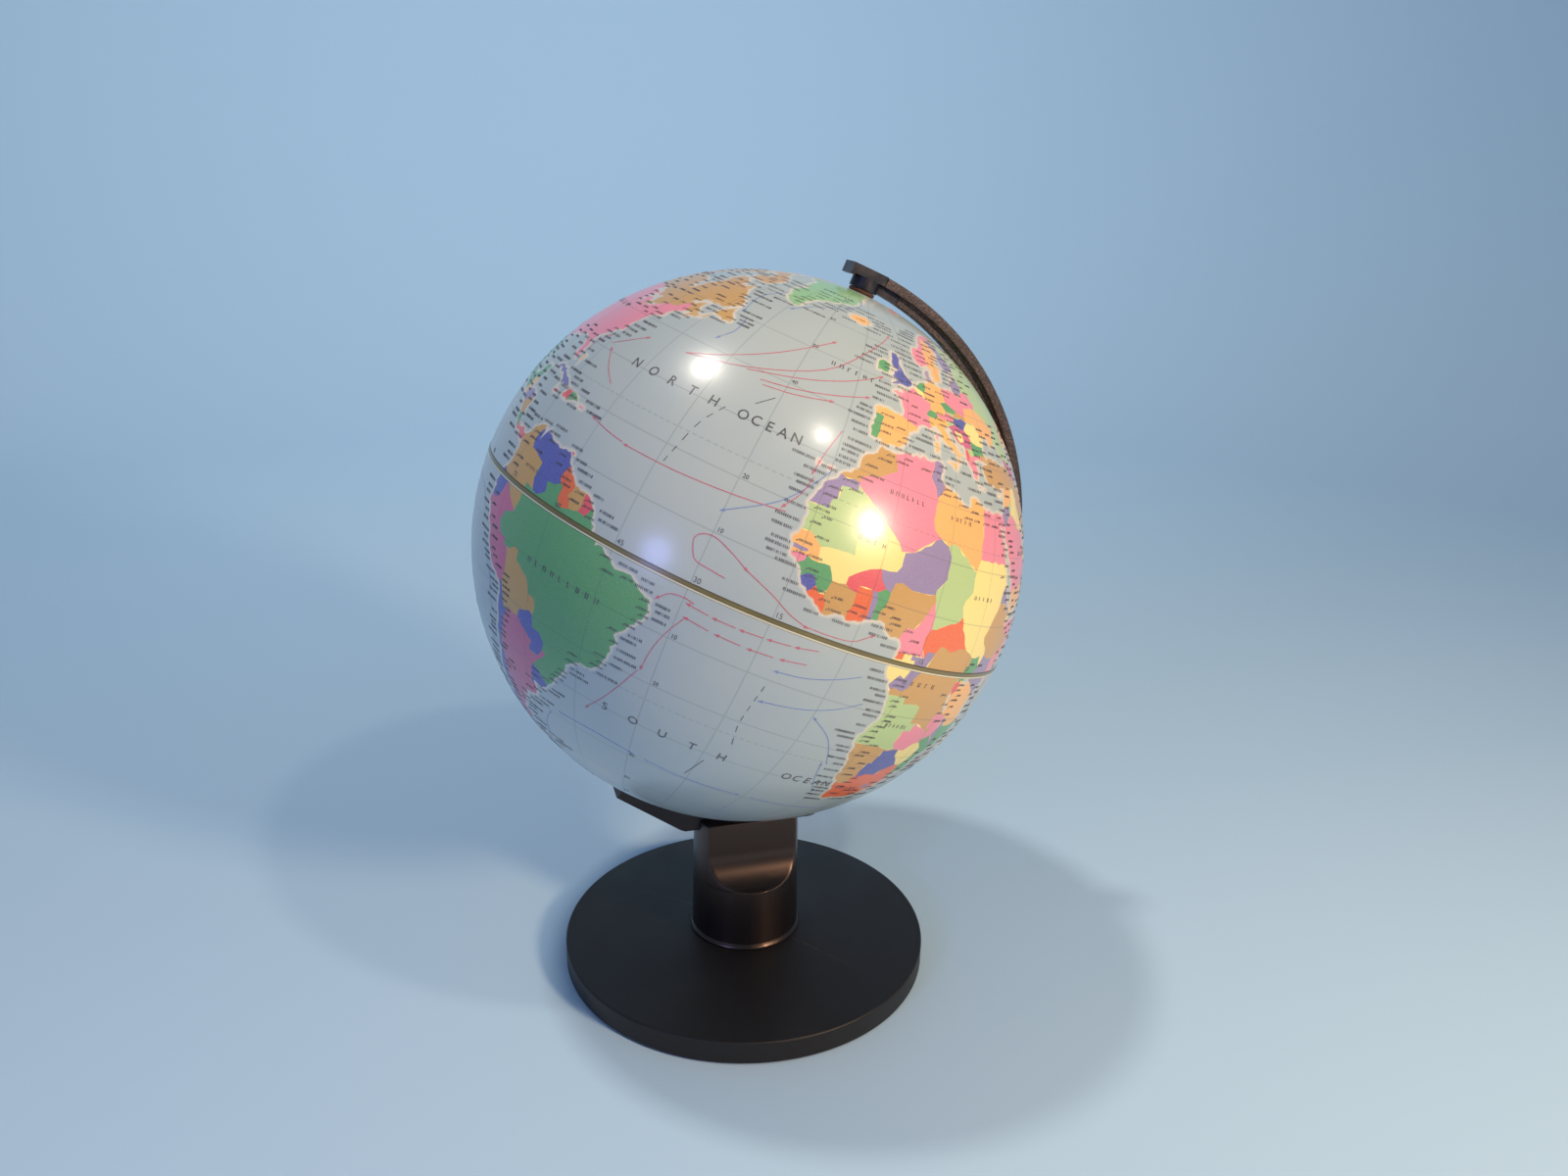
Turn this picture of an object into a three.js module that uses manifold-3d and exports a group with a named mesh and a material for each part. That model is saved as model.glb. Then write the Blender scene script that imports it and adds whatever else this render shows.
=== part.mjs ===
// Desktop globe on a stand: a tilted globe that spins between two pole pins, held by a C-shaped
// meridian arm whose foot is bolted into a slotted column on a weighted round base.
// Units are millimetres, +Z is up. The origin is the centre of the pad under the base, and the arm
// and the tilted axis lie in the XZ plane with the north pole leaning towards +X.
import * as THREE from 'three';
import { mergeVertices } from 'three/addons/utils/BufferGeometryUtils.js';
import Module from 'manifold-3d';

const wasm = await Module();
wasm.setup();

// Fits between pieces
const gap = 0.3; // between two pieces that seat on each other
const headBelowFace = 0.1; // screw and pin heads lie this far under the face around them

// Helper lengths for building: not sizes of the object
const reach = 1; // how far a cutting shape runs past the face it cuts
const overlap = 0.5; // how far shapes that are joined run into each other

// Globe
const globeRadius = 125;
const globeWall = 2;
const axisTilt = THREE.MathUtils.degToRad(23.5);
const bandWidth = 2.4; // equator band laid in its groove
const bandHeight = 0.5;
const bandProud = 0.1;
const joinRingHeight = 10;
const joinRingWall = 2.2;

// Pole pins and bushes
const pinRadius = 2;
const pinHeadRadius = 3.6;
const pinHeadHeight = 1.5;
const pinDepthInGlobe = 11;
const bushRadius = 5;
const bushFlangeRadius = 8;
const bushFlangeHeight = 1.8;
const bushLength = 9;
const washerRadius = 6;
const washerHeight = 1.5;

// Meridian arm: a T section, its flange outside and its web towards the globe
const armGap = 3; // from the globe to the web
const armWidth = 12;
const flangeHeight = 4.3;
const webHeight = 4;
const webWidth = 6;
const armTipPastPole = 12.3; // how far the arm runs past the south pole
const footHalfLength = 33;
const poleBossRadius = 6.5;

// Pole head at the arm's north end
const headPastPole = 10.4;
const headShoulder = 0.9; // from the boss to the arm's end
const tongueLength = 10;
const headScrewRadius = 1.25;
const headScrewHeadRadius = 2.6;
const headScrewHeadHeight = 1.5;
const headScrewTipInset = 1;

// Column
const columnFootRadius = 26.9;
const columnTopRadius = 26;
const columnTop = 80;
const columnWall = 2.6;
const slotDepth = 5.7; // slot in the column's top that holds the arm's foot
const columnCap = 8; // thickness under the slot
const armAboveColumn = 0.8; // from the column's top to the lowest point of the arm's curve
const flatHalfSpacing = 14; // from the arm's plane to each flat
const scoopRadius = 17; // concave run-out at the foot of each flat
const scoopTop = 64;
const footRingRadius = 28.2;
const footRingHeight = 2;
const footRingBevel = 1.4;
const spigotRadius = 20;
const spigotLength = 6;
const hollowShoulder = 8; // height of the cone where the column's hollow narrows

// Base
const baseRadius = 91.3;
const baseRimHeight = 12.1;
const baseCrownHeight = 16;
const baseEdgeRound = 1.2;
const baseSkin = 2.4;
const rimWidth = 5.3;
const rimLip = 2.4; // the rim's lip round the pad
const padHeight = 1.5;
const rimAboveFloor = 0.8;
const hubWall = 2.6;
const hubFloor = 2.6;

// Ballast and its screws
const ballastHeight = 3;
const ballastRimClearance = 2;
const ballastHubClearance = 2.5;
const ballastScrewCount = 3;
const ballastScrewCircle = 55;
const ballastScrewRadius = 1.9;
const ballastScrewHeadRadius = 3.8;
const ballastScrewHeadHeight = 1.4;
const ballastScrewLength = 6;
const ballastBossRadius = 4.6;

// Through bolt from the base up into the arm's foot
const boltRadius = 2.5;
const boltHeadRadius = 4.6;
const boltHeadHeight = 3;
const boltSocketRadius = 1.6;
const boltSocketDepth = 1.8;
const boltWasherRadius = 8;
const boltWasherHeight = 1.2;
const boltThreadInFoot = 7.5;
const insertRadius = 4;
const insertLength = 9;

// Facets of the round pieces
const globeFacets = 44;
const globeRings = 10;
const armFacets = 42;
const footFacets = 14;
const tongueFacets = 4;
const scoopFacets = 8;
const baseFacets = 48;
const edgeFacets = 3;
const columnFacets = 40;
const smallFacets = 24;
const screwFacets = 16;

// Levels and radii that follow from the dimensions above
const webInner = globeRadius + armGap;
const flangeInner = webInner + webHeight;
const armOuter = flangeInner + flangeHeight;
const globeCentre = columnTop + armAboveColumn + armOuter;
const slotFloor = columnTop - slotDepth;
const footBottom = slotFloor + gap;
const northPole = Math.PI / 2 - axisTilt; // angles of the arm, from +X up towards +Z
const southPole = northPole - Math.PI;
const armEndBeforePole = poleBossRadius + headShoulder;
const armEnd = northPole - armEndBeforePole / armOuter;
const armTip = southPole - armTipPastPole / armOuter;
const columnFoot = baseCrownHeight + gap;
const spigotBottom = columnFoot - spigotLength;
const hubTopOfFloor = spigotBottom - gap;
const hubUnderside = hubTopOfFloor - hubFloor;
const padTop = padHeight + gap;
const rimInner = baseRadius - rimWidth;
const ballastTop = padTop + ballastScrewHeadHeight + gap + ballastHeight;
const hubRadius = spigotRadius + gap + hubWall;
const boltWasherBottom = hubUnderside - gap - boltWasherHeight;
const boltHeadTop = boltWasherBottom - gap;
const boltTip = footBottom + boltThreadInFoot;
const pinHole = pinRadius + gap;
const poleBossBottom = globeRadius + gap + washerHeight + gap;
const pinHeadUnderside = armOuter - headBelowFace - pinHeadHeight;
const headScrewUnderside = armOuter - headBelowFace - headScrewHeadHeight;
const headScrewAngle = armEnd - tongueLength / 2 / armOuter;
const boltHole = boltRadius + gap;
const globeInner = globeRadius - globeWall;
const globeSag = globeInner * (1 - Math.cos(Math.PI / 4 / globeRings)); // depth of its flat facets

// ---- making and combining solids

function toSolid(geometry) {
  const bare = geometry.clone();
  for (const name of ['normal', 'uv', 'uv1', 'color']) bare.deleteAttribute(name);
  bare.morphAttributes = {};
  const merged = mergeVertices(bare, 1e-4);
  const corners = merged.index.array;
  const faces = [];
  for (let i = 0; i < corners.length; i += 3) {
    const [a, b, c] = [corners[i], corners[i + 1], corners[i + 2]];
    if (a !== b && b !== c && c !== a) faces.push(a, b, c);
  }
  const mesh = new wasm.Mesh({
    numProp: 3,
    vertProperties: new Float32Array(merged.attributes.position.array),
    triVerts: new Uint32Array(faces),
  });
  mesh.merge();
  return new wasm.Manifold(mesh);
}

function toGeometry(solid) {
  const mesh = solid.getMesh();
  const geometry = new THREE.BufferGeometry();
  geometry.setAttribute('position', new THREE.BufferAttribute(new Float32Array(mesh.vertProperties), 3));
  geometry.setIndex(new THREE.BufferAttribute(new Uint32Array(mesh.triVerts), 1));
  geometry.computeVertexNormals();
  return geometry;
}

function joined(...solids) {
  return solids.reduce((whole, piece) => whole.add(piece));
}

function cut(body, ...cutters) {
  return cutters.reduce((left, cutter) => left.subtract(cutter), body);
}

// A body of revolution about Z; the profile is a closed list of [radius, height], anticlockwise
function turned(profile, facets = smallFacets) {
  const points = profile.map(([r, z]) => new THREE.Vector2(r, z));
  points.push(points[0].clone());
  const geometry = new THREE.LatheGeometry(points, facets);
  geometry.rotateX(Math.PI / 2);
  return toSolid(geometry);
}

function disc(radius, bottom, top, facets = smallFacets) {
  return turned([[0, bottom], [radius, bottom], [radius, top], [0, top]], facets);
}

function ring(inner, outer, bottom, top, facets = smallFacets) {
  return turned([[inner, bottom], [outer, bottom], [outer, top], [inner, top]], facets);
}

// A solid box between two corners
function block([x0, y0, z0], [x1, y1, z1]) {
  const geometry = new THREE.BoxGeometry(x1 - x0, y1 - y0, z1 - z0);
  geometry.translate((x0 + x1) / 2, (y0 + y1) / 2, (z0 + z1) / 2);
  return toSolid(geometry);
}

// An outline in the XZ plane, thickened evenly to both sides of that plane
function plate(shape, width, curveSteps = 12) {
  const geometry = new THREE.ExtrudeGeometry(shape, {
    depth: width,
    bevelEnabled: false,
    curveSegments: curveSteps,
  });
  geometry.rotateX(Math.PI / 2);
  geometry.translate(0, width / 2, 0);
  return toSolid(geometry);
}

// An arc of a flat ring in the XZ plane about the globe's centre, from one angle to another
function arcBar(inner, outer, from, to, width, curveSteps) {
  const shape = new THREE.Shape();
  shape.absarc(0, globeCentre, outer, from, to, false);
  shape.absarc(0, globeCentre, inner, to, from, true);
  shape.closePath();
  return plate(shape, width, curveSteps);
}

// Moves a solid made about the local pole axis into the stand's frame
const tiltedFrame = new THREE.Matrix4()
  .makeRotationY(axisTilt)
  .setPosition(0, 0, globeCentre);

function tilted(solid) {
  return toSolid(toGeometry(solid).applyMatrix4(tiltedFrame));
}

// Moves a solid made along the local Z axis so that it points outwards at an angle of the arm
function radial(solid, angle) {
  const frame = new THREE.Matrix4().makeRotationY(Math.PI / 2 - angle).setPosition(0, 0, globeCentre);
  return toSolid(toGeometry(solid).applyMatrix4(frame));
}

function flipped(solid) {
  return toSolid(toGeometry(solid).rotateX(Math.PI));
}

// ---- finishes

const finishes = {
  baseBlack: { color: 0x14171f, roughness: 0.45, metalness: 0 },
  columnBlack: { color: 0x15161b, roughness: 0.35, metalness: 0 },
  armBlack: { color: 0x241c1a, roughness: 0.5, metalness: 0 },
  headBlack: { color: 0x17171c, roughness: 0.35, metalness: 0 },
  steel: { color: 0xa4a6a8, roughness: 0.35, metalness: 1 },
  ballastSteel: { color: 0x6c6a66, roughness: 0.6, metalness: 1 },
  brass: { color: 0xb08a45, roughness: 0.35, metalness: 1 },
  fibre: { color: 0x6b4526, roughness: 0.8, metalness: 0 },
  felt: { color: 0x1b1d1c, roughness: 0.95, metalness: 0 },
  map: { color: 0xb9c9cb, roughness: 0.25, metalness: 0 },
  band: { color: 0x6d6337, roughness: 0.35, metalness: 0 },
  acetal: { color: 0xe8e4d8, roughness: 0.4, metalness: 0 },
};

function place(parent, name, solid, finish) {
  const mesh = new THREE.Mesh(toGeometry(solid), new THREE.MeshStandardMaterial(finishes[finish]));
  mesh.name = name;
  parent.add(mesh);
  return mesh;
}

// ---- the base

// Height of the base's conical top at a radius
function crownAt(radius) {
  const run = baseRadius - baseEdgeRound - footRingRadius;
  const share = (baseRadius - baseEdgeRound - radius) / run;
  return baseRimHeight + (baseCrownHeight - baseRimHeight) * share;
}

function baseShell() {
  const edge = [];
  for (let step = 0; step <= edgeFacets; step += 1) {
    const turn = (step / edgeFacets) * (Math.PI / 2);
    edge.push([
      baseRadius - baseEdgeRound + baseEdgeRound * Math.cos(turn),
      baseRimHeight - baseEdgeRound + baseEdgeRound * Math.sin(turn),
    ]);
  }
  const shell = turned([
    [boltHole, hubUnderside],
    [hubRadius, hubUnderside],
    [hubRadius, baseCrownHeight - baseSkin],
    [rimInner, crownAt(rimInner) - baseSkin],
    [rimInner, padTop],
    [baseRadius - rimLip, padTop],
    [baseRadius - rimLip, rimAboveFloor],
    [baseRadius, rimAboveFloor],
    ...edge,
    [footRingRadius, baseCrownHeight],
    [spigotRadius + gap, baseCrownHeight],
    [spigotRadius + gap, hubTopOfFloor],
    [boltHole, hubTopOfFloor],
  ], baseFacets);
  const bosses = ballastScrewPlaces().map(({ x, y }) => {
    const top = crownAt(ballastScrewCircle) - baseSkin + overlap;
    const boss = ring(ballastScrewRadius + gap, ballastBossRadius, ballastTop + gap, top);
    return toSolid(toGeometry(boss).translate(x, y, 0));
  });
  return joined(shell, ...bosses);
}

function ballastScrewPlaces() {
  const places = [];
  for (let i = 0; i < ballastScrewCount; i += 1) {
    const angle = Math.PI / 2 + (i * 2 * Math.PI) / ballastScrewCount;
    places.push({
      x: ballastScrewCircle * Math.cos(angle),
      y: ballastScrewCircle * Math.sin(angle),
    });
  }
  return places;
}

function ballastPlate() {
  const plateRing = ring(
    hubRadius + ballastHubClearance,
    rimInner - ballastRimClearance,
    ballastTop - ballastHeight,
    ballastTop,
    baseFacets,
  );
  const holes = ballastScrewPlaces().map(({ x, y }) => {
    const hole = disc(ballastScrewRadius + gap, ballastTop - ballastHeight - reach, ballastTop + reach);
    return toSolid(toGeometry(hole).translate(x, y, 0));
  });
  return cut(plateRing, ...holes);
}

function ballastScrew() {
  const seat = ballastTop - ballastHeight - gap;
  return turned([
    [0, seat - ballastScrewHeadHeight],
    [ballastScrewHeadRadius, seat - ballastScrewHeadHeight],
    [ballastScrewHeadRadius, seat],
    [ballastScrewRadius, seat],
    [ballastScrewRadius, seat + ballastScrewLength],
    [0, seat + ballastScrewLength],
  ], screwFacets);
}

// ---- the column

function columnRadiusAt(height) {
  const share = (height - columnFoot) / (columnTop - columnFoot);
  return columnFootRadius + (columnTopRadius - columnFootRadius) * share;
}

// What is taken off the +Y side to leave a flat that runs out through a concave curve
function scoopCutter() {
  const far = footRingRadius + reach;
  const outline = new THREE.Shape();
  const deep = flatHalfSpacing + scoopRadius;
  outline.moveTo(flatHalfSpacing, columnTop + reach);
  outline.lineTo(flatHalfSpacing, scoopTop);
  outline.absarc(deep, scoopTop, scoopRadius, Math.PI, Math.PI * 1.5, false);
  outline.lineTo(deep + far, scoopTop - scoopRadius);
  outline.lineTo(deep + far, columnTop + reach);
  outline.closePath();
  const geometry = new THREE.ExtrudeGeometry(outline, {
    depth: 2 * far,
    bevelEnabled: false,
    curveSegments: scoopFacets,
  });
  geometry.rotateX(Math.PI / 2);
  geometry.rotateZ(Math.PI / 2);
  geometry.translate(-far, 0, 0);
  return toSolid(geometry);
}

function column() {
  const footTop = columnFoot + footRingHeight;
  const innerFoot = spigotRadius - columnWall;
  const shoulder = scoopTop - scoopRadius - columnWall;
  const hollowRadius = columnRadiusAt(shoulder) - columnWall;
  const capBottom = slotFloor - columnCap;
  const outside = turned([
    [0, spigotBottom],
    [spigotRadius, spigotBottom],
    [spigotRadius, columnFoot],
    [footRingRadius, columnFoot],
    [footRingRadius, footTop - footRingBevel],
    [columnRadiusAt(footTop), footTop],
    [columnTopRadius, columnTop],
    [0, columnTop],
  ], columnFacets);
  const lowerHollow = turned([
    [0, spigotBottom - reach],
    [innerFoot, spigotBottom - reach],
    [innerFoot, columnFoot],
    [hollowRadius, columnFoot + hollowRadius - innerFoot],
    [hollowRadius, shoulder - hollowShoulder],
    [flatHalfSpacing - columnWall, shoulder],
    [0, shoulder],
  ], columnFacets);
  const upperHollow = block(
    [-flatHalfSpacing + columnWall, -flatHalfSpacing + columnWall, shoulder - reach],
    [flatHalfSpacing - columnWall, flatHalfSpacing - columnWall, capBottom],
  );
  const slotHalf = armWidth / 2 + gap;
  const slot = block(
    [-footRingRadius - reach, -slotHalf, slotFloor],
    [footRingRadius + reach, slotHalf, columnTop + reach],
  );
  const bolt = disc(boltHole, capBottom - reach, slotFloor + reach);
  const scoop = scoopCutter();
  const otherScoop = toSolid(toGeometry(scoop).rotateZ(Math.PI));
  return cut(outside, lowerHollow, upperHollow, slot, bolt, scoop, otherScoop);
}

// ---- bolt, washer and insert that hold the arm, the column and the base together

function footBolt() {
  const underside = boltHeadTop - boltHeadHeight;
  const socket = disc(boltSocketRadius, underside - reach, underside + boltSocketDepth, 6);
  const body = turned([
    [0, underside],
    [boltHeadRadius, underside],
    [boltHeadRadius, boltHeadTop],
    [boltRadius, boltHeadTop],
    [boltRadius, boltTip],
    [0, boltTip],
  ]);
  return cut(body, socket);
}

function boltWasher() {
  return ring(boltHole, boltWasherRadius, boltWasherBottom, boltWasherBottom + boltWasherHeight);
}

function threadedInsert() {
  return ring(boltHole, insertRadius, footBottom, footBottom + insertLength);
}

// ---- the meridian arm

// The boat-shaped foot under the arm, with a flat sole that stands in the column's slot
function armFoot() {
  const tipX = armOuter * Math.cos(armTip);
  const tipZ = globeCentre + armOuter * Math.sin(armTip);
  const outline = new THREE.Shape();
  outline.moveTo(tipX, tipZ);
  outline.lineTo(-footHalfLength, footBottom);
  outline.lineTo(footHalfLength, footBottom);
  outline.lineTo(-tipX, tipZ);
  outline.absarc(0, globeCentre, flangeInner + overlap, -Math.PI - armTip, armTip, true);
  outline.closePath();
  return plate(outline, armWidth, footFacets);
}

function meridianArm() {
  const webEnd = armEnd - (tongueLength + gap) / armOuter;
  const past = armOuter + footHalfLength;
  const flange = arcBar(flangeInner, armOuter, armTip, armEnd, armWidth, armFacets);
  const web = arcBar(webInner, flangeInner + overlap, armTip, webEnd, webWidth, armFacets);
  const boss = radial(disc(poleBossRadius, poleBossBottom, flangeInner + overlap), southPole);
  const pinBore = radial(disc(pinHole, poleBossBottom - reach, past), southPole);
  const pinRecess = radial(disc(pinHeadRadius + gap, pinHeadUnderside - gap, past), southPole);
  const screwBore = radial(disc(headScrewRadius + gap, webInner, past), headScrewAngle);
  const screwRecess = radial(
    disc(headScrewHeadRadius + gap, headScrewUnderside - gap, past),
    headScrewAngle,
  );
  const insertBore = disc(insertRadius + gap, footBottom - reach, footBottom + insertLength + gap);
  const body = joined(flange, web, armFoot(), boss);
  return cut(body, pinBore, pinRecess, screwBore, screwRecess, insertBore);
}

// ---- pole head: the fitting on the arm's north end that carries the north pin

function poleHead() {
  const reachToArm = flangeInner * Math.sin(armEndBeforePole / armOuter) - gap;
  const past = armOuter + reach;
  const cap = tilted(block(
    [-headPastPole, -armWidth / 2, flangeInner],
    [reachToArm, armWidth / 2, armOuter],
  ));
  const boss = tilted(disc(poleBossRadius, poleBossBottom, flangeInner + overlap));
  const tongueEnd = armEnd - tongueLength / armOuter;
  const tongue = arcBar(webInner, flangeInner - gap, tongueEnd, northPole, webWidth, tongueFacets);
  const pinBore = tilted(disc(pinHole, poleBossBottom - reach, past));
  const pinRecess = tilted(disc(pinHeadRadius + gap, pinHeadUnderside - gap, past));
  const screwBore = radial(disc(headScrewRadius + gap, webInner - reach, past), headScrewAngle);
  return cut(joined(cap, boss, tongue), pinBore, pinRecess, screwBore);
}

function headScrew() {
  const top = headScrewUnderside + headScrewHeadHeight;
  const tip = webInner + headScrewTipInset;
  const screw = turned([
    [0, tip],
    [headScrewRadius, tip],
    [headScrewRadius, headScrewUnderside],
    [headScrewHeadRadius, headScrewUnderside],
    [headScrewHeadRadius, top],
    [0, top],
  ], screwFacets);
  return radial(screw, headScrewAngle);
}

// ---- pieces about the local pole axis, drawn for the north and flipped for the south

function polePin() {
  const top = pinHeadUnderside + pinHeadHeight;
  const tip = globeRadius - pinDepthInGlobe;
  return turned([
    [0, tip],
    [pinRadius, tip],
    [pinRadius, pinHeadUnderside],
    [pinHeadRadius, pinHeadUnderside],
    [pinHeadRadius, top],
    [0, top],
  ]);
}

function poleWasher() {
  return ring(pinHole, washerRadius, globeRadius + gap, globeRadius + gap + washerHeight);
}

function poleBush() {
  const flangeTop = Math.sqrt(globeInner ** 2 - bushFlangeRadius ** 2) - globeSag - gap;
  const top = globeRadius;
  return turned([
    [pinHole, top - bushLength],
    [bushRadius, top - bushLength],
    [bushRadius, flangeTop - bushFlangeHeight],
    [bushFlangeRadius, flangeTop - bushFlangeHeight],
    [bushFlangeRadius, flangeTop],
    [bushRadius, flangeTop],
    [bushRadius, top],
    [pinHole, top],
  ]);
}

// Points of an arc of a circle about the centre, from one height above the equator up to the bush hole
function meridianPoints(radius, fromHeight, holeRadius) {
  const start = Math.asin(fromHeight / radius);
  const end = Math.acos(holeRadius / radius);
  const points = [];
  for (let i = 0; i <= globeRings; i += 1) {
    const latitude = start + ((end - start) * i) / globeRings;
    points.push([radius * Math.cos(latitude), radius * Math.sin(latitude)]);
  }
  return points;
}

function hemisphere() {
  const edge = gap / 2;
  const grooveRadius = globeRadius + bandProud - bandHeight - gap;
  const grooveTop = bandWidth / 2 + gap;
  const hole = bushRadius + gap;
  const inside = meridianPoints(globeInner, edge, hole).reverse();
  return turned([
    [grooveRadius, edge],
    [grooveRadius, grooveTop],
    ...meridianPoints(globeRadius, grooveTop, hole),
    ...inside,
  ], globeFacets);
}

function equatorBand() {
  const outer = globeRadius + bandProud;
  return ring(outer - bandHeight, outer, -bandWidth / 2, bandWidth / 2, globeFacets);
}

function joinRing() {
  const half = joinRingHeight / 2;
  const outer = Math.sqrt(globeInner ** 2 - half ** 2) - globeSag - gap;
  return ring(outer - joinRingWall, outer, -half, half, globeFacets);
}

// ---- assembly

const globeStand = new THREE.Group();

const stand = new THREE.Group();
place(stand, 'base_pad', disc(baseRadius - rimLip - gap, 0, padHeight, baseFacets), 'felt');
place(stand, 'base_shell', baseShell(), 'baseBlack');
place(stand, 'ballast_plate', ballastPlate(), 'ballastSteel');
ballastScrewPlaces().forEach(({ x, y }, i) => {
  place(stand, `ballast_screw_${i + 1}`, ballastScrew(), 'steel').position.set(x, y, 0);
});
place(stand, 'column', column(), 'columnBlack');
place(stand, 'foot_bolt', footBolt(), 'steel');
place(stand, 'bolt_washer', boltWasher(), 'steel');
place(stand, 'threaded_insert', threadedInsert(), 'brass');
place(stand, 'meridian_arm', meridianArm(), 'armBlack');
place(stand, 'pole_head', poleHead(), 'headBlack');
place(stand, 'head_screw', headScrew(), 'steel');
globeStand.add(stand);

// The globe and its pins turn about the tilted axis, so they hang in one tilted group
const poleAxis = new THREE.Group();
poleAxis.position.set(0, 0, globeCentre);
poleAxis.rotation.y = axisTilt;
place(poleAxis, 'north_pin', polePin(), 'steel');
place(poleAxis, 'north_washer', poleWasher(), 'fibre');
place(poleAxis, 'south_pin', flipped(polePin()), 'steel');
place(poleAxis, 'south_washer', flipped(poleWasher()), 'fibre');

const globe = new THREE.Group();
place(globe, 'north_hemisphere', hemisphere(), 'map');
place(globe, 'south_hemisphere', flipped(hemisphere()), 'map');
place(globe, 'equator_band', equatorBand(), 'band');
place(globe, 'join_ring', joinRing(), 'acetal');
place(globe, 'north_bush', poleBush(), 'acetal');
place(globe, 'south_bush', flipped(poleBush()), 'acetal');
poleAxis.add(globe);
globeStand.add(poleAxis);

export default globeStand;
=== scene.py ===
import math
import random

import bmesh
import bpy
import numpy as np
from mathutils import Matrix, Vector, kdtree
from mathutils.geometry import delaunay_2d_cdt


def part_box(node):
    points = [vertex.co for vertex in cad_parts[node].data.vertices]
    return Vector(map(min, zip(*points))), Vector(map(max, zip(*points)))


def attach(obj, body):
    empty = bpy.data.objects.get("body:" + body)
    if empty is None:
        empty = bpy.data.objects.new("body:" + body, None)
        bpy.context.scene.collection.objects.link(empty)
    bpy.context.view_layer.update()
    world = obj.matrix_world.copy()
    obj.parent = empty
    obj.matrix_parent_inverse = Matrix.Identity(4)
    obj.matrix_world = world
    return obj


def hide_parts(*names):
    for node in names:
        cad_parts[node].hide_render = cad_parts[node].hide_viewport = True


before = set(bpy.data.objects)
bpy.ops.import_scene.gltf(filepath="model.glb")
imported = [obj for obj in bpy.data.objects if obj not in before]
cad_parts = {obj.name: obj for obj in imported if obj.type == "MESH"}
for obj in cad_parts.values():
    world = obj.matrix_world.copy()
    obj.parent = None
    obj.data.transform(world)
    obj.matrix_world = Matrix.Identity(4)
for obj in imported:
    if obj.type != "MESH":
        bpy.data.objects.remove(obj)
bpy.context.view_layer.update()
print("frame loaded:", len(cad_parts), "CAD nodes")

mm = 0.001
scene = bpy.context.scene


def linked(name, data):
    made = bpy.data.objects.new(name, data)
    scene.collection.objects.link(made)
    return made


# The camera, and its own axes, which also place the lamps

viewSettings = {
    "position": (-0.13946, -0.52939, 0.38719),
    "azimuth": -16.499,
    "elevation": 19.128,
    "roll": 1.26,
    "lens": 28.3,
    "sensorWidth": 36.0,
}


def cameraAxes():
    turn, rise, roll = (math.radians(viewSettings[k]) for k in ("azimuth", "elevation", "roll"))
    back = Vector((math.sin(turn) * math.cos(rise), -math.cos(turn) * math.cos(rise), math.sin(rise)))
    right = Vector((math.cos(turn), math.sin(turn), 0))
    up = back.cross(right)
    return (
        right * math.cos(roll) + up * math.sin(roll),
        up * math.cos(roll) - right * math.sin(roll),
        back,
    )


def placeCamera():
    data = bpy.data.cameras.new("studioCamera")
    data.lens, data.sensor_width = viewSettings["lens"], viewSettings["sensorWidth"]
    data.clip_start, data.clip_end = 0.01, 50
    camera = linked("studioCamera", data)
    turned = Matrix(cameraAxes()).transposed().to_4x4()
    camera.matrix_world = Matrix.Translation(viewSettings["position"]) @ turned
    scene.camera = camera


placeCamera()
scene.view_settings.view_transform = "Standard"
print("camera placed")

# Short ways to write nodes


def colour(red, green, blue):  # from 0-255 screen values to the linear values nodes use
    return tuple(
        (c / 255 / 12.92) if c <= 10 else ((c / 255 + 0.055) / 1.055) ** 2.4
        for c in (red, green, blue)
    ) + (1.0,)


def addNode(tree, kind, settings=None, sockets=None):
    made = tree.nodes.new(kind)
    for key, value in (settings or {}).items():
        setattr(made, key, value)
    for key, value in (sockets or {}).items():
        if isinstance(value, bpy.types.NodeSocket):
            tree.links.new(value, made.inputs[key])
        else:
            made.inputs[key].default_value = value
    return made


def sums(tree, operation, first, second=0.0, third=None, clamp=False):
    sockets = {0: first, 1: second}
    if third is not None:
        sockets[2] = third
    settings = {"operation": operation, "use_clamp": clamp}
    return addNode(tree, "ShaderNodeMath", settings, sockets).outputs[0]


def stepped(tree, value, low, high, outLow=0.0, outHigh=1.0):
    settings = {"interpolation_type": "SMOOTHSTEP"}
    sockets = {"Value": value, "From Min": low, "From Max": high, "To Min": outLow, "To Max": outHigh}
    return addNode(tree, "ShaderNodeMapRange", settings, sockets).outputs[0]


def blended(tree, share, first, second):
    return addNode(tree, "ShaderNodeMix", {"data_type": "RGBA"}, {0: share, 6: first, 7: second}).outputs[2]


def noise(tree, place, scale, detail, roughness=0.5):
    sockets = {"Vector": place, "Scale": scale, "Detail": detail, "Roughness": roughness}
    return addNode(tree, "ShaderNodeTexNoise", None, sockets).outputs[0]


def startGroup(name, ins, outs):
    group = bpy.data.node_groups.new(name, "ShaderNodeTree")
    for label, kind, value in ins:
        socket = group.interface.new_socket(label, in_out="INPUT", socket_type="NodeSocket" + kind)
        socket.default_value = value
    for label, kind in outs:
        group.interface.new_socket(label, in_out="OUTPUT", socket_type="NodeSocket" + kind)
    return group, group.nodes.new("NodeGroupInput").outputs, group.nodes.new("NodeGroupOutput").inputs


def useGroup(tree, group, sockets=None):
    return addNode(tree, "ShaderNodeGroup", {"node_tree": group}, sockets).outputs


def objectPlace(tree):
    return tree.nodes.new("ShaderNodeTexCoord").outputs["Object"]


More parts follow.
